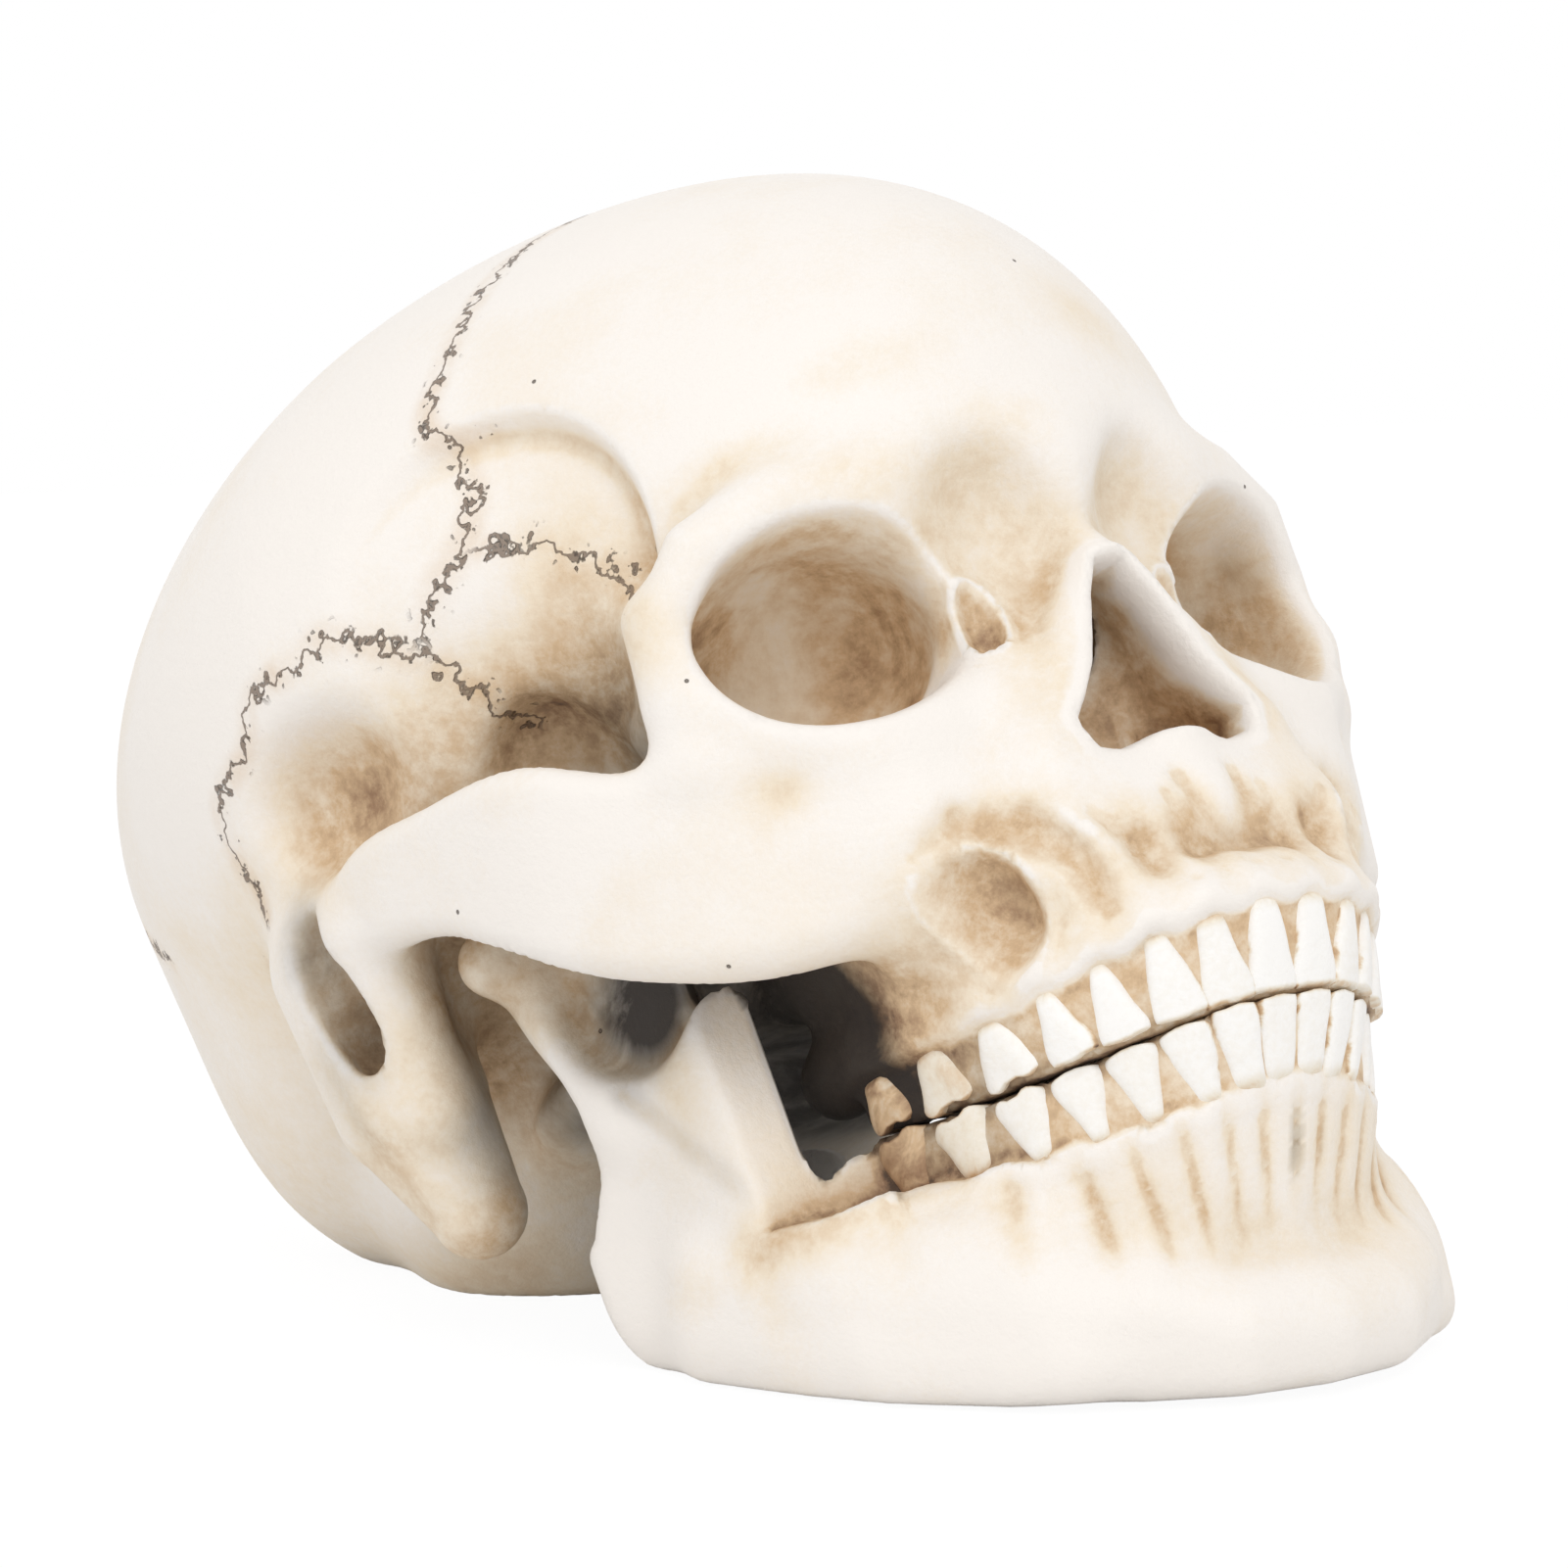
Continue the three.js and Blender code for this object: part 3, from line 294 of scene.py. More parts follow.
def near_teeth(row, arc):
    spread = 0.36 * row["widths"]
    return sum(bell(arc, c, w) for c, w in zip(row["centres"], spread))


def near_roots(row, arc):
    roots = sum(np.exp(-((arc - c) / (0.43 * w)) ** 4) for c, w in zip(row["centres"], row["widths"]))
    return np.clip(roots, 0, 1)


def past_last(row, arc):
    return arc - row["centres"][-1] - 0.5 * row["widths"][-1]


def sheet(out, sink, half, height, crown, foot, reach):
    """Upright sheet behind the tooth faces, from a share below the gum line to past the bite."""
    ends = np.maximum(-(height + foot) * crown, (height - 1) * crown - reach)
    return np.maximum(np.abs(out + sink) - half, ends)


def gum_detail(d, row, p):
    """Scalloped gum edge, sunk web between the teeth and the swellings over their roots."""
    arc, out, height, crown = row_place(row, p)
    near = near_teeth(row, arc)
    last = past_last(row, arc)
    front = rises(out, -9, 5) * falls(last, 2, 4)
    rise = ROOT_RISE[row["up"]]
    if row["up"] > 0:
        roots = rise * (near - 0.5) * bell(height, -0.85, 0.6)
    else:
        roots = rise * (near_roots(row, arc) - 0.5) * bell(height, -0.7, 0.75)
    d = d - roots * front
    edge = GUM_EDGE - GUM_SCALLOP * near
    lip = bell((height - edge) * crown, -LIP_DROP, LIP_WIDTH) * rises(out, -4, 2) * front
    d = d - LIP_RISE[row["up"]] * lip
    cleared = np.maximum((edge - height) * crown, -GUM_CUT - out)
    d = carve(d, np.maximum(cleared, last), GUM_CUT)
    sunk = WEB_SINK + WEB_SINK_AT_BITE * rises(height, 0.75, 0.25)
    web = sheet(out, sunk, WEB_HALF, height, crown, WEB_FOOT, WEB_REACH)
    d = join(d, np.maximum(web, last), 1.0)
    if row["up"] < 0:
        return d
    # Shield: a sheet behind the upper row that closes the gaps between the teeth; painted shade of the mouth
    # and of closed-in places darkens it.
    shield = sheet(out, SHIELD_SINK, SHIELD_HALF, height, crown, SHIELD_FOOT, SHIELD_REACH)
    return join(d, np.maximum(shield, last), 1.0)


def vault_field(p):
    forward = np.clip((-p[1] - CLOSE) / (VAULT_HALF[1] - WIDE), 0, 1)
    narrow = 1 - TEMPLE_NARROWING * forward ** NARROWING_CURVE
    egg = ovoid((p[0] / narrow, p[1], p[2]), (VAULT_CENTRE, VAULT_HALF))
    return join(join(egg, ovoid(p, forehead), EASY), ovoid(p, occiput), WIDE)


def temple_sink(p):
    back, up, radius, soft = TEMPLE_RIM
    inside = falls(np.hypot(p[1] - back, p[2] - up), radius, soft)
    return TEMPLE_DEPTH * inside * np.clip((-p[1] - TEMPLE_START) / TEMPLE_FADE, 0, 1)


def above_floor(p):
    return tip(p, REST_PITCH)[2] + BASE_DROP


def jaw_form(point):
    p = (abs(point[0]), point[1], point[2])
    r = tip(p, JAW_PITCH)
    d = join(wall(p, ramus), wall(r, jaw_body), EASY)
    d = join(d, wall(r, lower_gum), EASY)
    d = join(d, rod(p, neck), CLOSE)
    d = carve(d, rod(p, notch), TIGHT)
    d = carve(d, rod(p, ramus_back), CLOSE)
    d = join(d, rod(p, condyle), TIGHT)
    chin_level = -BASE_DROP + CHIN_SLOPE * (-r[1] - CHIN_START)
    d = carve(d, r[2] - chin_level, CLOSE)
    return carve(d, above_floor(p) + SOLE_DEPTH, SOLE_BLEND)


def jaw_field(point):
    p = (abs(point[0]), point[1], point[2])
    d = join(jaw_form(point), wall(p, notch_web), TIGHT)
    d = gum_detail(d, lower_row, p)
    d = groove(d, p, ramus_groove, 2.0)
    return carve(d, above_floor(p), SHARP)


def orbit_field(p):
    tall = (p[0], p[1], ORBIT_LEVEL + (p[2] - ORBIT_LEVEL) * ORBIT_SQUASH)
    return join(rod(tall, orbit), ovoid(tall, orbit_end), CLOSE)


def outline_field(u, v, loop):
    nearest, within = 1e9, 1.0
    for (au, av), (bu, bv) in zip(loop, np.roll(loop, -1, 0)):
        du, dv = bu - au, bv - av
        t = np.clip(((u - au) * du + (v - av) * dv) / (du * du + dv * dv), 0, 1)
        nearest = np.minimum(nearest, np.hypot(u - au - t * du, v - av - t * dv))
        crossed = ((av > v) != (bv > v)) & (u < au + (v - av) * du / (dv + 1e-12))
        within = np.where(crossed, -within, within)
    return nearest * within


def nostril_field(p):
    flat = outline_field(p[0], p[2], nose_outline)
    wider = NOSE_WIDENING * rises(p[1], -NOSE_MOUTH, NOSE_FADE)
    return carve(flat - wider, -p[1] - NOSE_FLOOR, EASY)


def hollow_field(p):
    sunk = vault_field(p) + temple_sink(p)
    for form in (temple, squama, arch_hollow, cheek_gap, bridge_hollow):
        sunk = np.maximum(sunk, EASY - ovoid(p, form) - VAULT_WALL)
    return np.maximum(sunk, -orbit_field(p)) + VAULT_WALL


def foramen_field(p):
    round_hole = np.hypot(p[0], p[1] - FORAMEN_BACK) - FORAMEN_RADIUS
    return np.maximum(round_hole, p[2] - VAULT_CENTRE[2])


# Carved detail, in millimetres: a groove row is across, back, up and radius
ramus_groove = np.array([[51.4, -26, -27, 1.2], [51.1, -32, -38, 2.0], [50.2, -38.5, -46, 1.9],
                         [48.9, -43.5, -53, 0.9]])
canine_hollow = np.array([[33.2, -81.4, -30.6], [9.4, 5.0, 8.2]])
crescent = np.array([[37, -80, -21.5, 1.2], [31.5, -84, -18.4, 2.6], [26.4, -88, -21, 3.1],
                     [23.6, -91.5, -28, 2.8], [22, -92.5, -35, 1.6]])
nose_groove = np.array([[19, -93.5, -23, 1], [15, -96, -28, 3.2], [12, -99, -34, 2]])
front_groove = np.array([[4.6, -94.5, -20, 0.8], [3.9, -97.4, -26, 2.2], [2.8, -100.4, -33.5, 1.5]])
side_groove = np.array([[7.8, -94.8, -22, 0.5], [8, -97.6, -28, 1.7], [7.6, -100, -34, 1.1]])
bridge_hollow = np.array([[13.5, -90, 19.5], [8, 7.5, 10]])
tear_hollow = np.array([[16.6, -83.2, 8], [2.2, 2.4, 5.6]])
ear_fill = np.array([[61.5, 0.5, 9, 5.6], [59, 2, -2, 4.8], [57, 6, -14, 5]])
ear_hollow = np.array([[67.6, 7, 12, 3.2], [65.4, 7.4, 5, 4.8], [60.8, 8, -4, 4.2]])
mastoid_groove = np.array([[71, 14.5, 0, 2.4], [68.6, 15.6, -8, 3], [66, 15.5, -16, 3], [61, 16, -27, 2.4]])
cheek_back = np.array([[38.5, -60.5, -30, 3], [37.5, -60, -38, 2.4]])
nose_ridge = np.array([[6.6, -73.2, 4, 0.5], [7.3, -73.4, 1, 1.0], [8.2, -73.6, -3, 1.2],
                       [7.8, -73.6, -9, 1.3]])
FACE_START = 60.0


def groove(d, p, path, blend):
    return carve(d, rod(p, path), blend)


def rim(d, edge_field, offset, width, height, where):
    return d - height * bell(edge_field, offset, width) * where


def carved_detail(d, p):
    face = falls(p[1], -FACE_START, 8)
    d = rim(d, nostril_field(p), 1.5, 1.1, 0.9, face * rises(p[2], -16, 4))
    d = rim(d, orbit_field(p), 1.9, 1.3, 0.5, face)
    d = carve(d, ovoid(p, canine_hollow), 2.4)
    d = rim(d, ovoid(p, canine_hollow), 1.4, 1.1, 0.5, face)
    for path in (crescent, nose_groove, front_groove, side_groove):
        d = groove(d, p, path, 1.8)
    d = rim(d, ovoid(p, tear_hollow), 0.9, 0.8, 0.6, face)
    d = carve(d, ovoid(p, tear_hollow), 1.2)
    d = join(d, rod(p, nose_ridge), 1.4)
    d = groove(d, p, ear_hollow, 2.4)
    d = groove(d, p, mastoid_groove, 3.0)
    return groove(d, p, cheek_back, 3.0)


def cranium_field(point):
    p = (abs(point[0]), point[1], point[2])
    d = vault_field(p) + temple_sink(p)
    d = carve(d, ovoid(p, temple), WIDE)
    d = carve(d, ovoid(p, squama), EASY)
    d = carve(d, ovoid(p, arch_hollow), CLOSE)
    d = join(d, block(p, face_core, EASY), EASY)
    d = join(d, wall(p, orbit_wall), CLOSE)
    for path in (brow, nose, nose_side, nose_rim, eye_floor):
        d = join(d, rod(p, path), CLOSE)
    lean = CHEEK_LEVEL - p[2]
    leaned = (p[0] + CHEEK_LEAN_IN * lean, p[1] - CHEEK_LEAN_BACK * lean, p[2])
    d = join(d, wall(leaned, cheek), CLOSE)
    d = join(d, ovoid(p, upper_jaw), EASY)
    d = join(d, ovoid(p, cheek_fill), EASY)
    d = join(d, ovoid(p, orbit_floor), CLOSE)
    d = join(d, join(rod(p, upper_gum), rod(p, upper_root), EASY), EASY)
    d = join(d, rod(p, spine), CLOSE)
    d = join(d, rod(p, mastoid), EASY)
    d = join(d, ovoid(p, skull_base), EASY)
    d = join(d, ovoid(p, nape), EASY)
    d = carve(d, orbit_field(p), CLOSE)
    d = carve(d, ovoid(p, bridge_hollow), EASY)
    d = carve(d, nostril_field(p), TIGHT)
    d = carve(d, ovoid(p, cheek_gap), CLOSE)
    d = carve(d, ovoid(p, palate), CLOSE)
    d = join(d, rod(p, ear_fill), CLOSE)
    d = carved_detail(d, p)
    d = np.maximum(d, JAW_CLEARANCE - jaw_form(point))
    d = gum_detail(d, upper_row, p)
    d = join(d, rod(p, boss), TIGHT)
    d = carve(d, join(hollow_field(p), foramen_field(p), TIGHT), SHARP)
    return carve(d, above_floor(p), SHARP)


# Casting: the field is sampled near the surface only, then turned into a closed mesh.
# Near is so many coarse cells and millimetres.
COARSE = 4
NEAR_CELLS, NEAR_EXTRA = 1.6, 1.5
BAND_STEPS = 3
GRID_STEP = 1.1
MOST_TRIANGLES = 190000


def sample(field, low, high, step):
    counts = [int(np.ceil((high[i] - low[i]) / (step * COARSE))) + 1 for i in range(3)]
    rough_axes = [low[i] + (np.arange(counts[i]) + 0.5) * step * COARSE for i in range(3)]
    values = field(np.meshgrid(*rough_axes, indexing="ij"))
    for axis in range(3):
        values = np.repeat(values, COARSE, axis)
    near = np.abs(values) < step * COARSE * NEAR_CELLS + NEAR_EXTRA
    i, j, k = np.nonzero(near)
    axes = [low[m] + np.arange(values.shape[m]) * step for m in range(3)]
    values[near] = field((axes[0][i], axes[1][j], axes[2][k]))
    return values


def slope_of(field, points, value, reach=0.2):
    slopes = []
    for axis in range(3):
        ahead = [points[:, m] + (reach if m == axis else 0) for m in range(3)]
        slopes.append((field(ahead) - value) / reach)
    return np.stack(slopes, 1)


def polish(field, points, most, turns=2):
    for _ in range(turns):
        value = field(points.T)
        slope = slope_of(field, points, value)
        move = value[:, None] * slope / (np.sum(slope ** 2, 1)[:, None] + 1e-6)
        length = np.linalg.norm(move, axis=1)[:, None] + 1e-9
        points = points - move * np.minimum(1, most / length)
    return points


def cast(field, low, high, step):
    """Half the form is sampled from x = 0 outward and mirrored."""
    values = sample(field, low, high, step)
    both = np.concatenate([values[:0:-1], values], 0)
    band = step * BAND_STEPS
    grid = openvdb.FloatGrid(background=band)
    grid.copyFromArray(np.clip(both, -band, band).astype(np.float32), tolerance=0.0)
    points, triangles, quads = grid.convertToPolygons(isovalue=0.0, adaptivity=0.0)
    start = np.array([-(values.shape[0] - 1) * step, low[1], low[2]])
    points = points.astype(float) * step + start
    points = polish(field, points, most=step * 0.5)
    faces = [tuple(q) for q in quads[:, ::-1]] + [tuple(t) for t in triangles[:, ::-1]]
    return points, faces


def rest_points(points):
    x, y, z = tip(points.T, REST_PITCH)
    return np.stack([x, y + MIDDLE_SHIFT, z + BASE_DROP], 1) * MM


def skull_points(mesh):
    placed = np.empty(len(mesh.vertices) * 3)
    mesh.vertices.foreach_get("co", placed)
    level = placed.reshape(-1, 3) / MM - (0, MIDDLE_SHIFT, BASE_DROP)
    return np.stack(tip(level.T, -REST_PITCH), 1)


def linked(name, data):
    thing = bpy.data.objects.new(name, data)
    bpy.context.scene.collection.objects.link(thing)
    return thing


def mesh_object(name, points, faces, material):
    mesh = bpy.data.meshes.new(name)
    mesh.from_pydata(rest_points(points).tolist(), [], faces)
    mesh.validate()
    mesh.polygons.foreach_set("use_smooth", [True] * len(mesh.polygons))
    mesh.materials.append(material)
    return linked(name, mesh)


def thinned(piece, field, most):
    count = sum(len(face.vertices) - 2 for face in piece.data.polygons)
    thin = piece.modifiers.new("thin", "DECIMATE")
    thin.ratio = min(1.0, most / count)
    graph = bpy.context.evaluated_depsgraph_get()
    mesh = bpy.data.meshes.new_from_object(piece.evaluated_get(graph))
    piece.modifiers.clear()
    points = polish(field, skull_points(mesh), most=0.4, turns=1)
    mesh.vertices.foreach_set("co", rest_points(points).ravel())
    mesh.update()
    piece.data = mesh
    return points


# Wash and painted shade: how open each point lies, from which shade is painted into hollows and between the
# castings, and how much brown wash, dark paint and painted shade lies there.
# The room is a coarse grid of the distance to the nearest surface.
SHADE_STEP = 2.5
SHADE_LOW = np.array([0.0, -130.0, -125.0])
SHADE_HIGH = np.array([100.0, 130.0, 130.0])
RAY_REACHES = (4, 9, 18)
RAY_TURNS = 6
RAY_RISE, RAY_SPREAD = 0.57, 0.82
OPEN_MEAN = 0.63
BEND_REACH = 1.6


def fold(points):
    return np.abs(points * [1, 0, 0]) + points * [0, 1, 1]


def read_grid(values, points):
    place = (fold(points) - SHADE_LOW) / SHADE_STEP
    place = np.clip(place, 0, np.array(values.shape) - 1.001)
    base = place.astype(int)
    part = place - base
    total = 0
    for corner in np.ndindex(2, 2, 2):
        share = np.prod(np.where(np.array(corner) == 1, part, 1 - part), axis=1)
        total = total + share * values[tuple((base + corner).T)]
    return total


def openness(room, points, normals):
    side = np.cross(normals, [0.3, 0.5, 0.81])
    side /= np.linalg.norm(side, axis=1)[:, None] + 1e-9
    other = np.cross(normals, side)
    ways = [normals]
    for turn in np.arange(RAY_TURNS) * np.pi / 3:
        ways.append(RAY_RISE * normals + RAY_SPREAD * (np.cos(turn) * side + np.sin(turn) * other))
    total = 0
    for reach in RAY_REACHES:
        for way in ways:
            total = total + np.clip(read_grid(room, points + way * reach) / reach, 0, 1)
    return total / (len(ways) * len(RAY_REACHES)) / OPEN_MEAN


def bend_of(field, points, value):
    bend = 0
    for axis in range(3):
        for way in (-BEND_REACH, BEND_REACH):
            bend = bend + field([points[:, m] + (way if m == axis else 0) for m in range(3)]) - value
    return bend


# Smudges: across, back, up, then three radii and the strength
both_stains = [
    (24, -79, 21, 7, 8, 4, 0.14), (14, -85, -6, 5, 7, 15, 0.16), (8, -92, 21, 7, 6, 5, 0.1),
    (19.5, -89, 26, 6, 5, 4, 0.06), (33, -57, -33, 9, 11, 10, 0.5), (53, -52, 38, 8, 8, 9, 0.22),
    (47, -46, 22, 12, 15, 12, 0.4), (53, -27, 24, 10, 13, 9, 0.34), (61, -11, 26, 10, 15, 9, 0.24),
    (62, 2, 23, 9, 10, 10, 0.2), (66, 13, -12, 7, 6, 14, 0.2), (32.5, -78, -30.5, 9.5, 8, 9, 0.32),
    (28, -86, -21, 10, 7, 5, 0.28), (23, -91, -32, 4, 6, 7, 0.28), (14.5, -95, -28, 4.5, 5, 6, 0.32),
    (4.5, -97, -27, 2.6, 5, 7, 0.36), (8, -97, -28, 2, 5, 6, 0.26), (16, -82, 7, 3, 5, 6, 0.12),
    (42, -35, 17, 8, 9, 8, 0.3), (50, 20, -30, 22, 24, 12, 0.22), (58, 3, -8, 6, 7, 14, 0.3),
    (55, -66, 18, 4, 4, 6, 0.15), (50, 10, -30, 5, 6, 7, 0.25)]
right_stains = [
    (-24, -88, 44, 8, 8, 4, 0.14), (-38, -80, 37, 7, 8, 4, 0.1), (-10, -93, 31, 7, 6, 4, 0.16),
    (-30, -87, 29, 11, 8, 5, 0.16), (-15, -88, 14, 8, 9, 9, 0.05), (-47.4, -70.5, -7.6, 4, 4, 3, 0.16),
    (14, -90, 47, 6, 6, 5, 0.12), (-40, -72, 36, 8, 8, 3, 0.12), (-60, -48, -13, 4, 6, 3, 0.1)]
jaw_stains = [(-50, -27, -55, 5, 6, 4, 0.14), (-47, -34, -28, 5, 4, 8, 0.22), (-14, -95, -95, 7, 9, 3, 0.16)]
# Spots of dark paint and painted shade in the deep hollows of the skull
both_dark_paint_and_shade = [
    (44, -44, 14, 8, 13, 11, 0.5), (66, 8, 9, 4.5, 4.5, 8, 0.6), (61, 9, -2, 5.5, 4.5, 7, 0.6),
    (54, -1, -1, 6, 7, 9, 0.34), (50, 2, -18, 6, 8, 16, 0.4), (31, -46, -32, 8, 9, 14, 0.8),
    (35, -30, 4, 14, 16, 12, 0.6), (67, 15, -14, 4, 4, 12, 0.2)]
# Dark paint and painted shade on the jaw: the first spot paints the web in the jaw notch near black as shade
# of the hollow behind it; the second follows the ramus groove.
jaw_dark_paint_and_shade = [(46, -30, -17, 6, 10, 8.5, 1.1), (49, -33, -41, 1.6, 16, 18, 0.08)]
# Painted light and shade in the eye sockets; a negative strength paints light
orbit_painted_light_and_shade = [(37, -58, 5, 10, 12, 8, -0.34), (27, -74, 22, 12, 12, 10, 0.04), (24, -72, 6, 6, 10, 9, 0.06)]
SMUDGE_CURVE, SMUDGE_FALL = 1.3, 0.8
BACK_TEETH = 40
HOLLOW_EDGE, HOLLOW_FADE = 1.6, 1.4
# Strengths of painted shade inside the mouth, on the inner faces of the jaw and on the side that faces the
# floor
MOUTH_SHADE, INNER_JAW_SHADE, UNDERSIDE_SHADE = 0.85, 0.75, 0.16


def smudge(points, spots):
    total = 0
    for x, y, z, rx, ry, rz, strength in spots:
        u, v, w = (points[:, 0] - x) / rx, (points[:, 1] - y) / ry, (points[:, 2] - z) / rz
        away = u ** 2 + v ** 2 + w ** 2
        total = total + strength * np.exp(-away ** SMUDGE_CURVE * SMUDGE_FALL)
    return total


# Seams between the plates of the skull, drawn on its surface. The middle one is not mirrored.
SEAM_ROWS = {
    "coronal": [
        [0, -40, 97], [14, -40.5, 95.5], [28.9, -40.3, 89.7], [38, -40.5, 84], [46.3, -40.8, 76.8],
        [52, -40, 70], [55.9, -39.4, 63.5], [57, -43.8, 53.6], [57, -39.6, 46], [57, -33, 42.3],
        [57, -28.1, 38]],
    "temple_seam": [[56, -40.3, 44.3], [54, -48, 42], [53.6, -50.3, 38.9], [51.5, -54, 35], [50, -58, 30]],
    "scale_seam": [
        [69, 19, 20], [70, 17, 28], [70.7, 13.9, 35], [71.5, 2.5, 37.7], [71.8, -2.6, 43],
        [68.6, -12.8, 42.6], [65.3, -18, 43.1], [58, -25.5, 37.3], [55, -29, 31.4], [46, -28.3, 24.1]],
    "rear_seam": [[0, 83, 76], [16, 84, 66], [31, 78, 54], [45, 69, 44], [55, 56, 32]],
    "middle_seam": [[0, -40, 97], [0, -15, 102], [0, 15, 103], [0, 45, 97], [0, 70, 87], [0, 83, 76]]}
SEAMS = {name: curve_through(np.array(rows), per_span=6) for name, rows in SEAM_ROWS.items()}
SEAM_END, SEAM_LIFT, SEAM_LIFT_FADE = 2.0, 7.0, 3.0


def seam_place(points, normals, path, mirrored):
    """Signed distance from a seam line, a zero, and the strength of the line there."""
    if mirrored:
        flip = np.where(points[:, :1] < 0, [-1, 1, 1], [1, 1, 1])
        points, normals = points * flip, normals * flip
    best = np.full(len(points), 1e9)
    offset, strength = np.zeros(len(points)), np.zeros(len(points))
    last = len(path) - 2
    for i, (a, b) in enumerate(zip(path[:-1], path[1:])):
        way = b - a
        length = np.linalg.norm(way)
        t = (points - a) @ way / length ** 2
        rest = points - a - np.clip(t, 0, 1)[:, None] * way
        away = np.linalg.norm(rest, axis=1)
        nearer = away < best
        across = np.einsum("ij,ij->i", np.cross(way / length, normals), rest)
        past = -t * length if i == 0 else (t - 1) * length if i == last else 0 * t
        ended = 1 - smooth(past / SEAM_END)
        best = np.where(nearer, away, best)
        offset = np.where(nearer, across, offset)
        lifted = rises(away, SEAM_LIFT, SEAM_LIFT_FADE)
        strength = np.where(nearer, ended * (1 - lifted), strength)
    return np.stack([offset, np.zeros(len(points)), strength], 1)


def gum_wash_and_shade(row, points):
    """Brown wash between the teeth and the roots, and dark paint with painted shade along the line where the
    teeth meet and on the webs of the back teeth.
    """
    arc, out, height, crown = row_place(row, points.T)
    front = rises(out, -11, 4) * falls(past_last(row, arc), 4, 4)
    web = front * rises(height, -0.02, 0.12) * falls(out, -0.2, 0.5)
    if row["up"] > 0:
        roots = 0.25 * front * (1.25 - near_teeth(row, arc)) * bell(height, -0.7, 0.7)
        back_height = 0.8
    else:
        fade = 1 - 0.7 * rises(arc, BACK_TEETH, 12)
        roots = fade * front * (0.95 - 0.75 * near_roots(row, arc)) * bell(height, -0.9, 0.75)
        back_height = 0.5
    back = rises(arc, BACK_TEETH, 18) * front * bell(height, -0.1, back_height)
    near_bite = rises(height, 0.7, 0.2)
    tint = 0.44 + 0.16 * near_bite
    stain = tint * web + 0.4 * roots + 0.3 * back
    return stain, 0.3 * (web * near_bite) + 0.3 * web * rises(arc, 34, 14)


def cranium_wash_and_shade(points, folded, normals, nasal):
    stain = smudge(folded, both_stains) + smudge(points, right_stains)
    # Dark paint and painted shade: spots, and the inside of the mouth painted near black as shade.
    mouth = falls(folded[:, 0], 42, 8) * falls(points[:, 2], -4, 10) * rises(points[:, 1], -62, 8)
    dark_paint_and_shade = smudge(folded, both_dark_paint_and_shade) + MOUTH_SHADE * mouth * falls(points[:, 1], 20, 20)
    # Pale rims of the nose and eye sockets, with a tan band beside the nose
    face = falls(folded[:, 1], -66, 6)
    nose_edge, eye_edge = nostril_field(folded.T), orbit_field(folded.T)
    beside = rises(nose_edge, 2.4, 1.5) * falls(nose_edge, 13, 8) * rises(folded[:, 2], -17, 5)
    nose_rim_near = 0.5 * (1 - nasal) * bell(nose_edge, 1.1, 1.2)
    low_rim = bell(eye_edge, 1.6, 1.5) * falls(folded[:, 2], 8, 10)
    stain = stain + face * (0.09 * beside - nose_rim_near - 0.3 * low_rim)
    # Painted shade: the side that faces the floor is darker behind the face
    low = -tip(normals.T, REST_PITCH)[2]
    stain = stain + UNDERSIDE_SHADE * rises(low, 0.1, 0.6) * rises(points[:, 1], -10, 30)
    # Painted light and shade in the eye sockets: one lighter patch deep at the outer side, two darker
    # patches nearer the front.
    return stain + smudge(folded, orbit_painted_light_and_shade) - 0.06 * nasal, dark_paint_and_shade


def jaw_wash_and_shade(points, folded, normals):
    # Painted shade: the inner faces of the jaw are painted near black; dark paint and painted shade also lie
    # along the groove, in the notch and by the condyle.
    inward = falls(normals[:, 0] * np.sign(points[:, 0]), -0.15, 0.5)
    dark_paint_and_shade = INNER_JAW_SHADE * inward * rises(points[:, 1], -92, 10) * rises(points[:, 2], -96, 12)
    groove_near = falls(rod(folded.T, ramus_groove), 1.6, 2)
    dark_paint_and_shade = dark_paint_and_shade + 0.22 * groove_near + smudge(folded, jaw_dark_paint_and_shade)
    condyle_near = rises(points[:, 2], -24, 18) * rises(points[:, 1], -32, 8)
    return smudge(points, jaw_stains) + 0.3 * condyle_near, dark_paint_and_shade + 0.16 * condyle_near


def wear_and_shade(points, field, room, row):
    """Rows of three: open, bend and inside; then stain, dark paint with painted shade, and the hollows of
    eyes and nose.
    """
    value = field(points.T)
    slope = slope_of(field, points, value)
    normals = slope / (np.linalg.norm(slope, axis=1)[:, None] + 1e-9)
    folded = fold(points)
    front = falls(folded[:, 1], -50, 6)
    bowls = falls(orbit_field(folded.T), HOLLOW_EDGE, HOLLOW_FADE) * front
    nasal = falls(nostril_field(folded.T), HOLLOW_EDGE, HOLLOW_FADE)
    nasal = nasal * rises(folded[:, 1], -NOSE_MOUTH, 5) * front
    inside = falls(hollow_field(folded.T), 1, 3)
    if row["up"] > 0:
        stain, dark_paint_and_shade = cranium_wash_and_shade(points, folded, normals, nasal)
    else:
        stain, dark_paint_and_shade = jaw_wash_and_shade(points, folded, normals)
    gum_stain, gum_dark_paint_and_shade = gum_wash_and_shade(row, points)
    lie = np.stack([openness(room, points, normals), bend_of(field, points, value), inside], 1)
    wash = np.stack([stain + gum_stain, dark_paint_and_shade + gum_dark_paint_and_shade, bowls + nasal], 1)
    return normals, {"lie": lie, "wash": wash}


def store(mesh, name, rows):
    layer = mesh.attributes.new(name, "FLOAT_VECTOR", "POINT")
    layer.data.foreach_set("vector", np.ascontiguousarray(rows, dtype=np.float32).ravel())


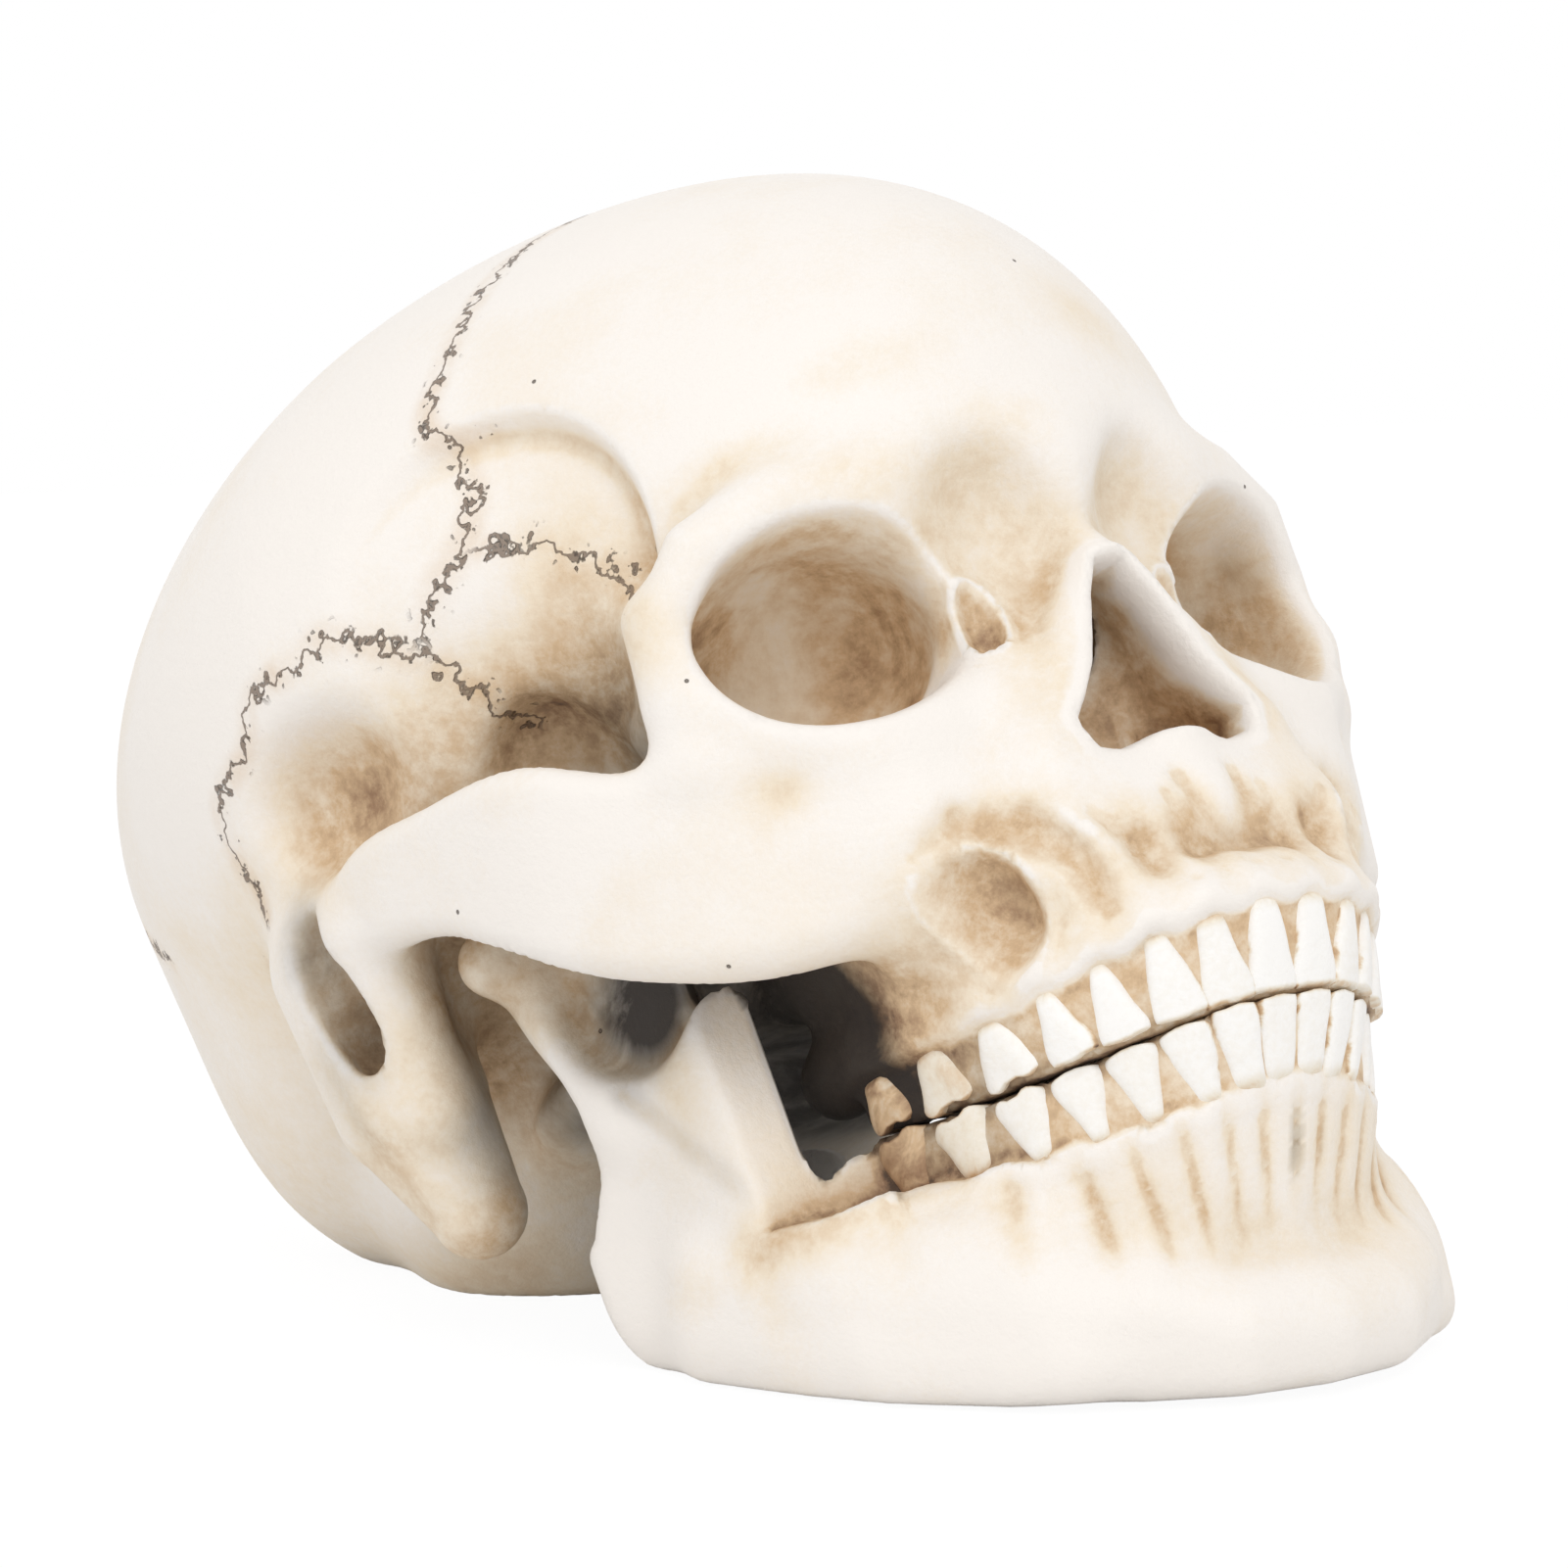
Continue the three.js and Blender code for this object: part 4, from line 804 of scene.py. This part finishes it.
# Shader building in short words
class Paint:
    def __init__(self, name):
        self.material = bpy.data.materials.new(name)
        self.material.use_nodes = True
        self.tree = self.material.node_tree
        self.shader = self.tree.nodes["Principled BSDF"]
        self.place = self.node("TexCoord").outputs["Object"]

    def put(self, socket, value):
        if isinstance(value, bpy.types.NodeSocket):
            self.tree.links.new(value, socket)
        else:
            socket.default_value = value

    def node(self, kind, values=None, **settings):
        node = self.tree.nodes.new("ShaderNode" + kind)
        for key, value in settings.items():
            setattr(node, key, value)
        for key, value in (values or {}).items():
            self.put(node.inputs[key], value)
        return node

    def math(self, operation, a, b=0.0, limit=False):
        return self.node("Math", {0: a, 1: b}, operation=operation, use_clamp=limit).outputs[0]

    def times(self, a, b):
        return self.math("MULTIPLY", a, b)

    def plus(self, a, b, limit=False):
        return self.math("ADD", a, b, limit=limit)

    def ease(self, value, low, high, start=0.0, end=1.0):
        node = self.node("MapRange", {0: value, 1: low, 2: high, 3: start, 4: end},
                         interpolation_type="SMOOTHSTEP")
        return node.outputs[0]

    def parts(self, name):
        read = self.node("Attribute", attribute_name=name).outputs["Vector"]
        return self.node("SeparateXYZ", {0: read}).outputs[:3]

    def noise(self, scale, detail=3.0, roughness=0.5, warp=0.0, stretch=(1, 1, 1), turn=(0, 0, 0)):
        place = self.node("Mapping", {"Vector": self.place, "Rotation": turn, "Scale": stretch}).outputs[0]
        return self.node("TexNoise", {
            "Vector": place, "Scale": scale, "Detail": detail, "Roughness": roughness,
            "Distortion": warp}).outputs[0]

    def mix(self, share, a, b):
        node = self.node("Mix", data_type="RGBA")
        self.put(node.inputs["Factor"], share)
        self.put(node.inputs["A"], a)
        self.put(node.inputs["B"], b)
        return node.outputs["Result"]

    def ramp(self, value, stops):
        node = self.node("ValToRGB", {0: value})
        marks = node.color_ramp.elements
        while len(marks) < len(stops):
            marks.new(0.5)
        for mark, (place, colour) in zip(marks, stops):
            mark.position = place
            mark.color = (*colour, 1)
        return node.outputs[0]

    def finish(self, colour, roughness, height, depth, specular=0.35):
        self.put(self.shader.inputs["Base Color"], colour)
        self.put(self.shader.inputs["Roughness"], roughness)
        self.put(self.shader.inputs["Specular IOR Level"], specular)
        bump = self.node("Bump", {"Height": height, "Distance": depth, "Strength": 1.0})
        self.put(self.shader.inputs["Normal"], bump.outputs[0])
        return self.material


# Colours, from bare resin to the darkest wash, and near black for dark paint and painted shade
IVORY, CREAM, TAN = (0.9, 0.852, 0.8), (0.85, 0.74, 0.59), (0.67, 0.48, 0.295)
BROWN, UMBER = (0.35, 0.212, 0.122), (0.14, 0.09, 0.06)
# Near black for dark paint and painted shade, and the most of it that is mixed in
DARK_PAINT_AND_SHADE, MOST_DARK_PAINT_AND_SHADE = (0.04, 0.034, 0.031, 1), 0.98
SEAM_BROWN, PIT_BROWN, SPECK_BROWN = (0.17, 0.115, 0.08, 1), (0.06, 0.04, 0.03, 1), (0.1, 0.075, 0.055, 1)
INSIDE_BROWN = (0.3, 0.24, 0.18, 1)
ENAMEL, OLD_ENAMEL = (0.94, 0.922, 0.895), (0.84, 0.77, 0.65)
WASH_STOPS = [(0.0, IVORY), (0.2, CREAM), (0.48, TAN), (0.8, BROWN), (1.0, UMBER)]
TOOTH_STOPS = [(0.0, ENAMEL), (0.25, OLD_ENAMEL), (0.5, TAN), (0.76, BROWN), (1.0, UMBER)]
SEAM_WANDER, SEAM_FINE_WANDER = 9.0, 2.4
SPECKS_PER_METRE = 150.0


def bone_material():
    paint = Paint("cast bone")
    opened, bend, inside = paint.parts("lie")
    stain, dark_paint_and_shade, bowls = paint.parts("wash")
    clouds = paint.noise(26, 3, 0.55)
    marble = paint.noise(85, 6, 0.62, 0.9)
    grain = paint.noise(1100, 4, 0.7)
    speckle = paint.noise(420, 4, 0.7)
    streaks = paint.noise(150, 4, 0.62, 0.2, (1, 0.18, 1), (0.5, 0.3, 0.6))
    # Brown wash and painted shade: places closed in by hollows, and by the gaps between the castings, are
    # darker, and creases too; ridges are paler.
    hollow_wash_and_shade = paint.ease(opened, 0.9, 0.2)
    crease = paint.ease(bend, 0.0, -0.9)
    ridge = paint.ease(bend, 0.8, 2.2)
    bare = paint.math("SUBTRACT", 1.0, paint.times(bowls, 0.75))
    darkening = paint.plus(paint.times(paint.times(hollow_wash_and_shade, 0.36), bare), stain)
    darkening = paint.plus(darkening, paint.times(crease, 0.12))
    sweep = paint.noise(38, 3, 0.55, 0.6, (1, 1, 0.6), (0.4, 0.2, 0.8))
    bowl_wash = paint.plus(
        paint.ease(marble, 0.32, 0.66, 0.02, 0.14), paint.ease(sweep, 0.36, 0.6, 0.02, 0.32))
    darkening = paint.plus(darkening, paint.times(bowls, bowl_wash))
    patchy = paint.plus(
        paint.ease(marble, 0.3, 0.7, 0.72, 1.12), paint.ease(speckle, 0.3, 0.7, -0.2, 0.2))
    patchy = paint.plus(patchy, paint.ease(streaks, 0.35, 0.65, -0.12, 0.12))
    darkening = paint.times(darkening, patchy)
    darkening = paint.plus(darkening, paint.ease(clouds, 0.4, 0.75, -0.03, 0.09))
    darkening = paint.plus(darkening, paint.ease(grain, 0.3, 0.7, -0.02, 0.02))
    darkening = paint.math("SUBTRACT", darkening, paint.times(ridge, 0.2), limit=True)
    colour = paint.ramp(darkening, WASH_STOPS)
    # Near black from dark paint and painted shade, with more painted shade in closed-in places.
    dark = paint.plus(dark_paint_and_shade, paint.times(paint.times(hollow_wash_and_shade, 0.12), bare))
    dark = paint.times(dark, paint.ease(marble, 0.25, 0.65, 0.75, 1.08))
    colour = paint.mix(paint.math("MINIMUM", dark, MOST_DARK_PAINT_AND_SHADE), colour, DARK_PAINT_AND_SHADE)
    # Seams: lines that wander off their drawn path, with a tan band and pits beside them
    wander = paint.times(paint.math("SUBTRACT", paint.noise(360, 2, 0.5), 0.5), SEAM_WANDER)
    fine_wander = paint.times(paint.math("SUBTRACT", paint.noise(900, 2, 0.5), 0.5), SEAM_FINE_WANDER)
    line, band = 0.0, 0.0
    for name in SEAMS:
        offset, _, strength = paint.parts(name)
        away = paint.math("ABSOLUTE", paint.plus(paint.plus(offset, wander), fine_wander))
        line = paint.math("MAXIMUM", paint.times(paint.ease(away, 0.6, 0.2), strength), line)
        near = paint.times(paint.ease(paint.math("ABSOLUTE", offset), 3.6, 0.4), strength)
        band = paint.math("MAXIMUM", near, band)
    pits = paint.times(paint.ease(paint.noise(520, 2, 0.5), 0.66, 0.72), band)
    colour = paint.mix(paint.times(band, paint.ease(marble, 0.35, 0.7, 0.1, 0.5)), colour, (*TAN, 1))
    colour = paint.mix(paint.times(line, 0.84), colour, SEAM_BROWN)
    colour = paint.mix(paint.times(pits, 0.8), colour, PIT_BROWN)
    cells = paint.node("TexVoronoi", {"Vector": paint.place, "Scale": SPECKS_PER_METRE})
    chosen = paint.ease(paint.node("SeparateXYZ", {0: cells.outputs["Color"]}).outputs[0], 0.8, 0.82)
    specks = paint.times(paint.ease(cells.outputs["Distance"], 0.052, 0.03), chosen)
    colour = paint.mix(paint.times(specks, 0.85), colour, SPECK_BROWN)
    colour = paint.mix(inside, colour, INSIDE_BROWN)
    height = paint.plus(paint.times(grain, 0.25), paint.times(streaks, 0.4))
    height = paint.plus(height, paint.times(marble, 0.35))
    sunk = paint.math("MAXIMUM", paint.math("MAXIMUM", line, pits), specks)
    height = paint.math("SUBTRACT", height, paint.times(sunk, 0.9))
    roughness, specular = paint.ease(darkening, 0, 0.8, 0.48, 0.62), paint.ease(dark, 0.1, 0.8, 0.35, 0.08)
    return paint.finish(colour, roughness, height, 0.0005, specular)


def tooth_material():
    paint = Paint("cast tooth")
    height, side, brown = paint.parts("crown")  # share from gum to bite, share to the side, old brown
    marble = paint.noise(160, 5, 0.6, 0.8)
    grain = paint.noise(1100, 3, 0.6)
    foot = paint.ease(height, 0.16, -0.06)
    edge = paint.ease(paint.plus(side, paint.ease(marble, 0.3, 0.7, -0.08, 0.08)), 0.86, 1.0)
    darkening = paint.plus(paint.times(foot, 0.4), paint.times(edge, 0.5))
    darkening = paint.plus(darkening, paint.times(paint.ease(height, 0.94, 1.01), 0.45))
    darkening = paint.times(darkening, paint.ease(marble, 0.3, 0.7, 0.35, 1.25))
    darkening = paint.plus(darkening, paint.times(brown, paint.ease(marble, 0.3, 0.7, 0.55, 1.15)))
    darkening = paint.plus(darkening, paint.ease(grain, 0.3, 0.7, -0.03, 0.03), limit=True)
    relief = paint.plus(paint.times(grain, 0.3), marble)
    return paint.finish(paint.ramp(darkening, TOOTH_STOPS), 0.42, relief, 0.0003)


def steel_material():
    paint = Paint("brushed steel")
    paint.shader.inputs["Metallic"].default_value = 1.0
    lines = paint.noise(2200, 3, 0.6, 0, (0.06, 1, 1))
    colour = paint.ramp(lines, [(0.3, (0.42, 0.42, 0.43)), (0.7, (0.62, 0.62, 0.63))])
    return paint.finish(colour, paint.ease(lines, 0.3, 0.7, 0.28, 0.42), lines, 0.00008)


# Teeth: rings from the root in the gum to the bite
RING = 36
RING_HEIGHTS = np.array([
    -0.2, -0.1, 0, 0.08, 0.18, 0.3, 0.44, 0.58, 0.71, 0.82, 0.9, 0.95, 0.985, 1.0, 1.0, 1.0])
BITE_RINGS = (0.86, 0.5, 0.02)
TOOTH_WIDTH = 0.99
FRONT_SQUARE, BACK_SQUARE = 3.4, 3.0
ROOT_LEAN, FACE_BULGE, SIDE_RIPPLE = 9, 0.25, 0.025
BITE_LIFT, MOST_LIFT = 0.08, 0.14
FIRST_SEED = 101


def row_spot(row, station):
    return np.array([np.interp(station, row["arc"], row["line"][:, m]) for m in (0, 1)])


def cusp_of(index, across, late, inner):
    """How far the bite rises or sinks: two cusps on molars, a ridge on the next ones, flat in front."""
    if index > 4:
        return (-0.3 - 0.4 * np.cos(2 * np.pi * across)) * late - 0.6 * (1 - inner)
    if index > 1:
        return (0.1 - 0.5 * np.abs(across)) * late - 0.4 * (1 - inner)
    return (-0.05 + 0.1 * np.cos(across * 5 + index)) * late


def squared(wave, power):
    return np.sign(wave) * np.abs(wave) ** power


def tooth_points(row, index, side, rng):
    width = row["widths"][index] * TOOTH_WIDTH
    depth = row["depths"][index]
    station = row["centres"][index]
    front = index < 3
    place = row_spot(row, station)
    ahead = row_spot(row, station + 1)
    along = (ahead - place) / np.linalg.norm(ahead - place)
    outward = np.array([along[1], -along[0]])
    gum, bite, gum_out, bite_out = (
        np.interp(station, row["stations"], row[key]) for key in ("gum", "bite", "gum_out", "bite_out"))
    neck = row["necks"][index]
    wide = np.interp(RING_HEIGHTS, [-0.2, 0.02, 0.8, 0.92, 1], [neck - 0.06, neck, 0.99, 1, 0.93])
    depth_shares = [0.6, 0.96, 1, 0.9, 0.6] if front else [0.6, 0.94, 1, 1, 0.9]
    thick = np.interp(RING_HEIGHTS, [-0.2, 0, 0.3, 0.6, 1], depth_shares)
    inner = np.ones(len(RING_HEIGHTS))
    inner[-len(BITE_RINGS):] = BITE_RINGS
    turn = (np.arange(RING) + 0.5) / RING * 2 * np.pi
    power = 2 / (FRONT_SQUARE if front else BACK_SQUARE)
    cu, cv = squared(np.cos(turn), power), squared(np.sin(turn), power)
    slant, twist, rise = rng.uniform(-0.05, 0.05), rng.uniform(-0.06, 0.06), rng.uniform(-0.15, 0)
    rows, marks = [], []
    for step, h in enumerate(RING_HEIGHTS):
        a = width / 2 * inner[step] * (wide[step] + SIDE_RIPPLE * np.sin(9 * h + 2.3 * index + side))
        b = depth / 2 * thick[step] * inner[step]
        middle = gum_out + (bite_out - gum_out) * h - depth / 2 * thick[step] - ROOT_LEAN * max(0.02 - h, 0)
        u, v = a * cu, b * cv
        bulge = FACE_BULGE * np.sin(np.pi * np.clip(h, 0, 1)) * (cv > 0)
        cusp = cusp_of(index, cu * inner[step], rises(h, 0.6, 0.4), inner[step])
        level = (h + (rise / 10 if h > 0.5 else 0)) * (bite - gum) + gum
        level = level + np.sign(bite - gum) * np.minimum(cusp + BITE_LIFT, MOST_LIFT)
        u, v = u + slant * (h - 0.5) * 10 * 0.4, v + middle + bulge
        c, s = np.cos(twist), np.sin(twist)
        u, v = u * c - (v - middle) * s, middle + (v - middle) * c + u * s
        xy = place[:, None] + along[:, None] * u + outward[:, None] * v
        rows.append(np.stack([side * xy[0], xy[1], level], 1))
        beside = np.abs(cu) * inner[step] * (1 if h > 0 else 0.6)
        marks.append(np.stack([np.full(RING, h), beside, np.zeros(RING)], 1))
    return np.vstack(rows), np.vstack(marks)


def add_tooth(row, index, side, material, rng):
    points, marks = tooth_points(row, index, side, rng)
    rings = len(RING_HEIGHTS)
    faces = []
    for ring in range(rings - 1):
        for i in range(RING):
            j = (i + 1) % RING
            faces.append((ring * RING + i, ring * RING + j, (ring + 1) * RING + j, (ring + 1) * RING + i))
    faces.append(tuple(range(RING))[::-1])
    faces.append(tuple((rings - 1) * RING + i for i in range(RING)))
    if side * row["up"] > 0:
        faces = [face[::-1] for face in faces]
    marks[:, 2] = BROWNED[index] + rng.uniform(-0.03, 0.05)
    node = f"{row['name']}_{'left' if side > 0 else 'right'}_{KINDS[index]}"
    tooth = mesh_object(f"{node}_crown", points, faces, material)
    store(tooth.data, "crown", marks)
    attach(tooth, "skull" if row["up"] > 0 else "jaw")
    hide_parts(node)


def add_casting(name, node, body, field, low, high, row):
    points, faces = cast(field, low, high, GRID_STEP)
    piece = mesh_object(name, points, faces, bone)
    points = thinned(piece, field, MOST_TRIANGLES)
    normals, layers = wear_and_shade(points, field, room, row)
    for key, rows in layers.items():
        store(piece.data, key, rows)
    for key, path in SEAMS.items():
        store(piece.data, key, seam_place(points, normals, path, key != "middle_seam"))
    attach(piece, body)
    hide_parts(node)


bone = bone_material()
# The room holds both castings, so shade is also painted where one casting closes in the other.
room_axes = [np.arange(SHADE_LOW[i], SHADE_HIGH[i], SHADE_STEP) for i in range(3)]
room_points = np.meshgrid(*room_axes, indexing="ij")
room = np.minimum(cranium_field(room_points), jaw_field(room_points))
add_casting("cranium_casting", "cranium", "skull", cranium_field, (0, -106, -50), (74, 100, 104), upper_row)
add_casting("jaw_casting", "mandible", "jaw", jaw_field, (0, -106, -104), (70, 0, 6), lower_row)
tooth = tooth_material()
for row in (upper_row, lower_row):
    for side in (-1, 1):
        for index in range(len(KINDS)):
            seed = FIRST_SEED + index + 10 * side + 50 * row["up"]
            add_tooth(row, index, side, tooth, np.random.default_rng(seed))
steel = steel_material()
for name in ("right_jaw_pin", "left_jaw_pin"):
    for slot in bpy.data.objects[name].material_slots:
        slot.material = steel


# Camera at the photograph's place
IMAGE_SIDE = 1601
CAMERA_TURN, CAMERA_RISE, CAMERA_ROLL = np.radians(-37.747), np.radians(6.614), np.radians(-1.875)
CAMERA_PLACE = Vector((-456.1, -607.8, 132.5)) * MM
FOCAL_PIXELS = 5670.0
CENTRE_PIXEL = (877.0, 988.6)
SENSOR_WIDTH = 36

# Lamps, floor and world
LAMP_AIM, LAMP_SIDE = (0, 0, 0.08), 1.2
KEY_PLACE, KEY_POWER = (-0.7, -1.2, 1.5), 10.5
FILL_PLACE, FILL_POWER = (-1.3, 0.3, 0.7), 1.5
FLOOR_HALF = 4.0
FLOOR_GLOW, GLOW_SHARE = 1.03, 0.92
WORLD_LIGHT, WORLD_SEEN = 0.8, 1.0


def add_camera():
    data = bpy.data.cameras.new("photo view")
    data.sensor_width = SENSOR_WIDTH
    data.lens = data.sensor_width * FOCAL_PIXELS / IMAGE_SIDE
    data.shift_x = 0.5 - CENTRE_PIXEL[0] / IMAGE_SIDE
    data.shift_y = CENTRE_PIXEL[1] / IMAGE_SIDE - 0.5
    camera = linked("photo view", data)
    turn = Matrix.Rotation(CAMERA_TURN, 4, "Z") @ Matrix.Rotation(np.pi / 2 - CAMERA_RISE, 4, "X")
    camera.matrix_world = Matrix.Translation(CAMERA_PLACE) @ turn @ Matrix.Rotation(CAMERA_ROLL, 4, "Z")
    bpy.context.scene.camera = camera


def add_lamp(name, place, power):
    data = bpy.data.lights.new(name, "AREA")
    data.shape = "DISK"
    data.size = LAMP_SIDE
    data.energy = power
    lamp = linked(name, data)
    way = Vector(LAMP_AIM) - Vector(place)
    lamp.matrix_world = Matrix.Translation(place) @ way.to_track_quat("-Z", "Y").to_matrix().to_4x4()


def add_floor():
    """Pale floor that glows to the camera, so that it merges with the white behind it."""
    mesh = bpy.data.meshes.new("floor")
    corners = [(x * FLOOR_HALF, y * FLOOR_HALF, 0) for x, y in ((-1, -1), (1, -1), (1, 1), (-1, 1))]
    mesh.from_pydata(corners, [], [(0, 1, 2, 3)])
    material = bpy.data.materials.new("pale floor")
    material.use_nodes = True
    nodes, links = material.node_tree.nodes, material.node_tree.links
    shader = nodes["Principled BSDF"]
    shader.inputs["Base Color"].default_value = (0.9, 0.9, 0.9, 1)
    shader.inputs["Roughness"].default_value = 0.8
    glow = nodes.new("ShaderNodeEmission")
    glow.inputs["Strength"].default_value = FLOOR_GLOW
    path = nodes.new("ShaderNodeLightPath")
    mix = nodes.new("ShaderNodeMixShader")
    seen = nodes.new("ShaderNodeMath")
    seen.operation = "MULTIPLY"
    seen.inputs[1].default_value = GLOW_SHARE
    links.new(path.outputs["Is Camera Ray"], seen.inputs[0])
    links.new(seen.outputs[0], mix.inputs["Fac"])
    links.new(shader.outputs["BSDF"], mix.inputs[1])
    links.new(glow.outputs["Emission"], mix.inputs[2])
    links.new(mix.outputs["Shader"], nodes["Material Output"].inputs["Surface"])
    mesh.materials.append(material)
    floor = linked("floor", mesh)


def set_world():
    """White world, a little dimmer as a light than as it is seen or mirrored."""
    world = bpy.data.worlds.new("studio")
    bpy.context.scene.world = world
    world.use_nodes = True
    nodes, links = world.node_tree.nodes, world.node_tree.links
    background = nodes["Background"]
    background.inputs["Color"].default_value = (1, 1, 1, 1)
    path = nodes.new("ShaderNodeLightPath")
    seen = nodes.new("ShaderNodeMath")
    seen.operation = "MAXIMUM"
    links.new(path.outputs["Is Camera Ray"], seen.inputs[0])
    links.new(path.outputs["Is Glossy Ray"], seen.inputs[1])
    strength = nodes.new("ShaderNodeMapRange")
    strength.inputs["To Min"].default_value = WORLD_LIGHT
    strength.inputs["To Max"].default_value = WORLD_SEEN
    links.new(seen.outputs[0], strength.inputs["Value"])
    links.new(strength.outputs["Result"], background.inputs["Strength"])


add_camera()
add_floor()
set_world()
add_lamp("key", KEY_PLACE, KEY_POWER)
add_lamp("fill", FILL_PLACE, FILL_POWER)
bpy.context.scene.view_settings.view_transform = "Standard"
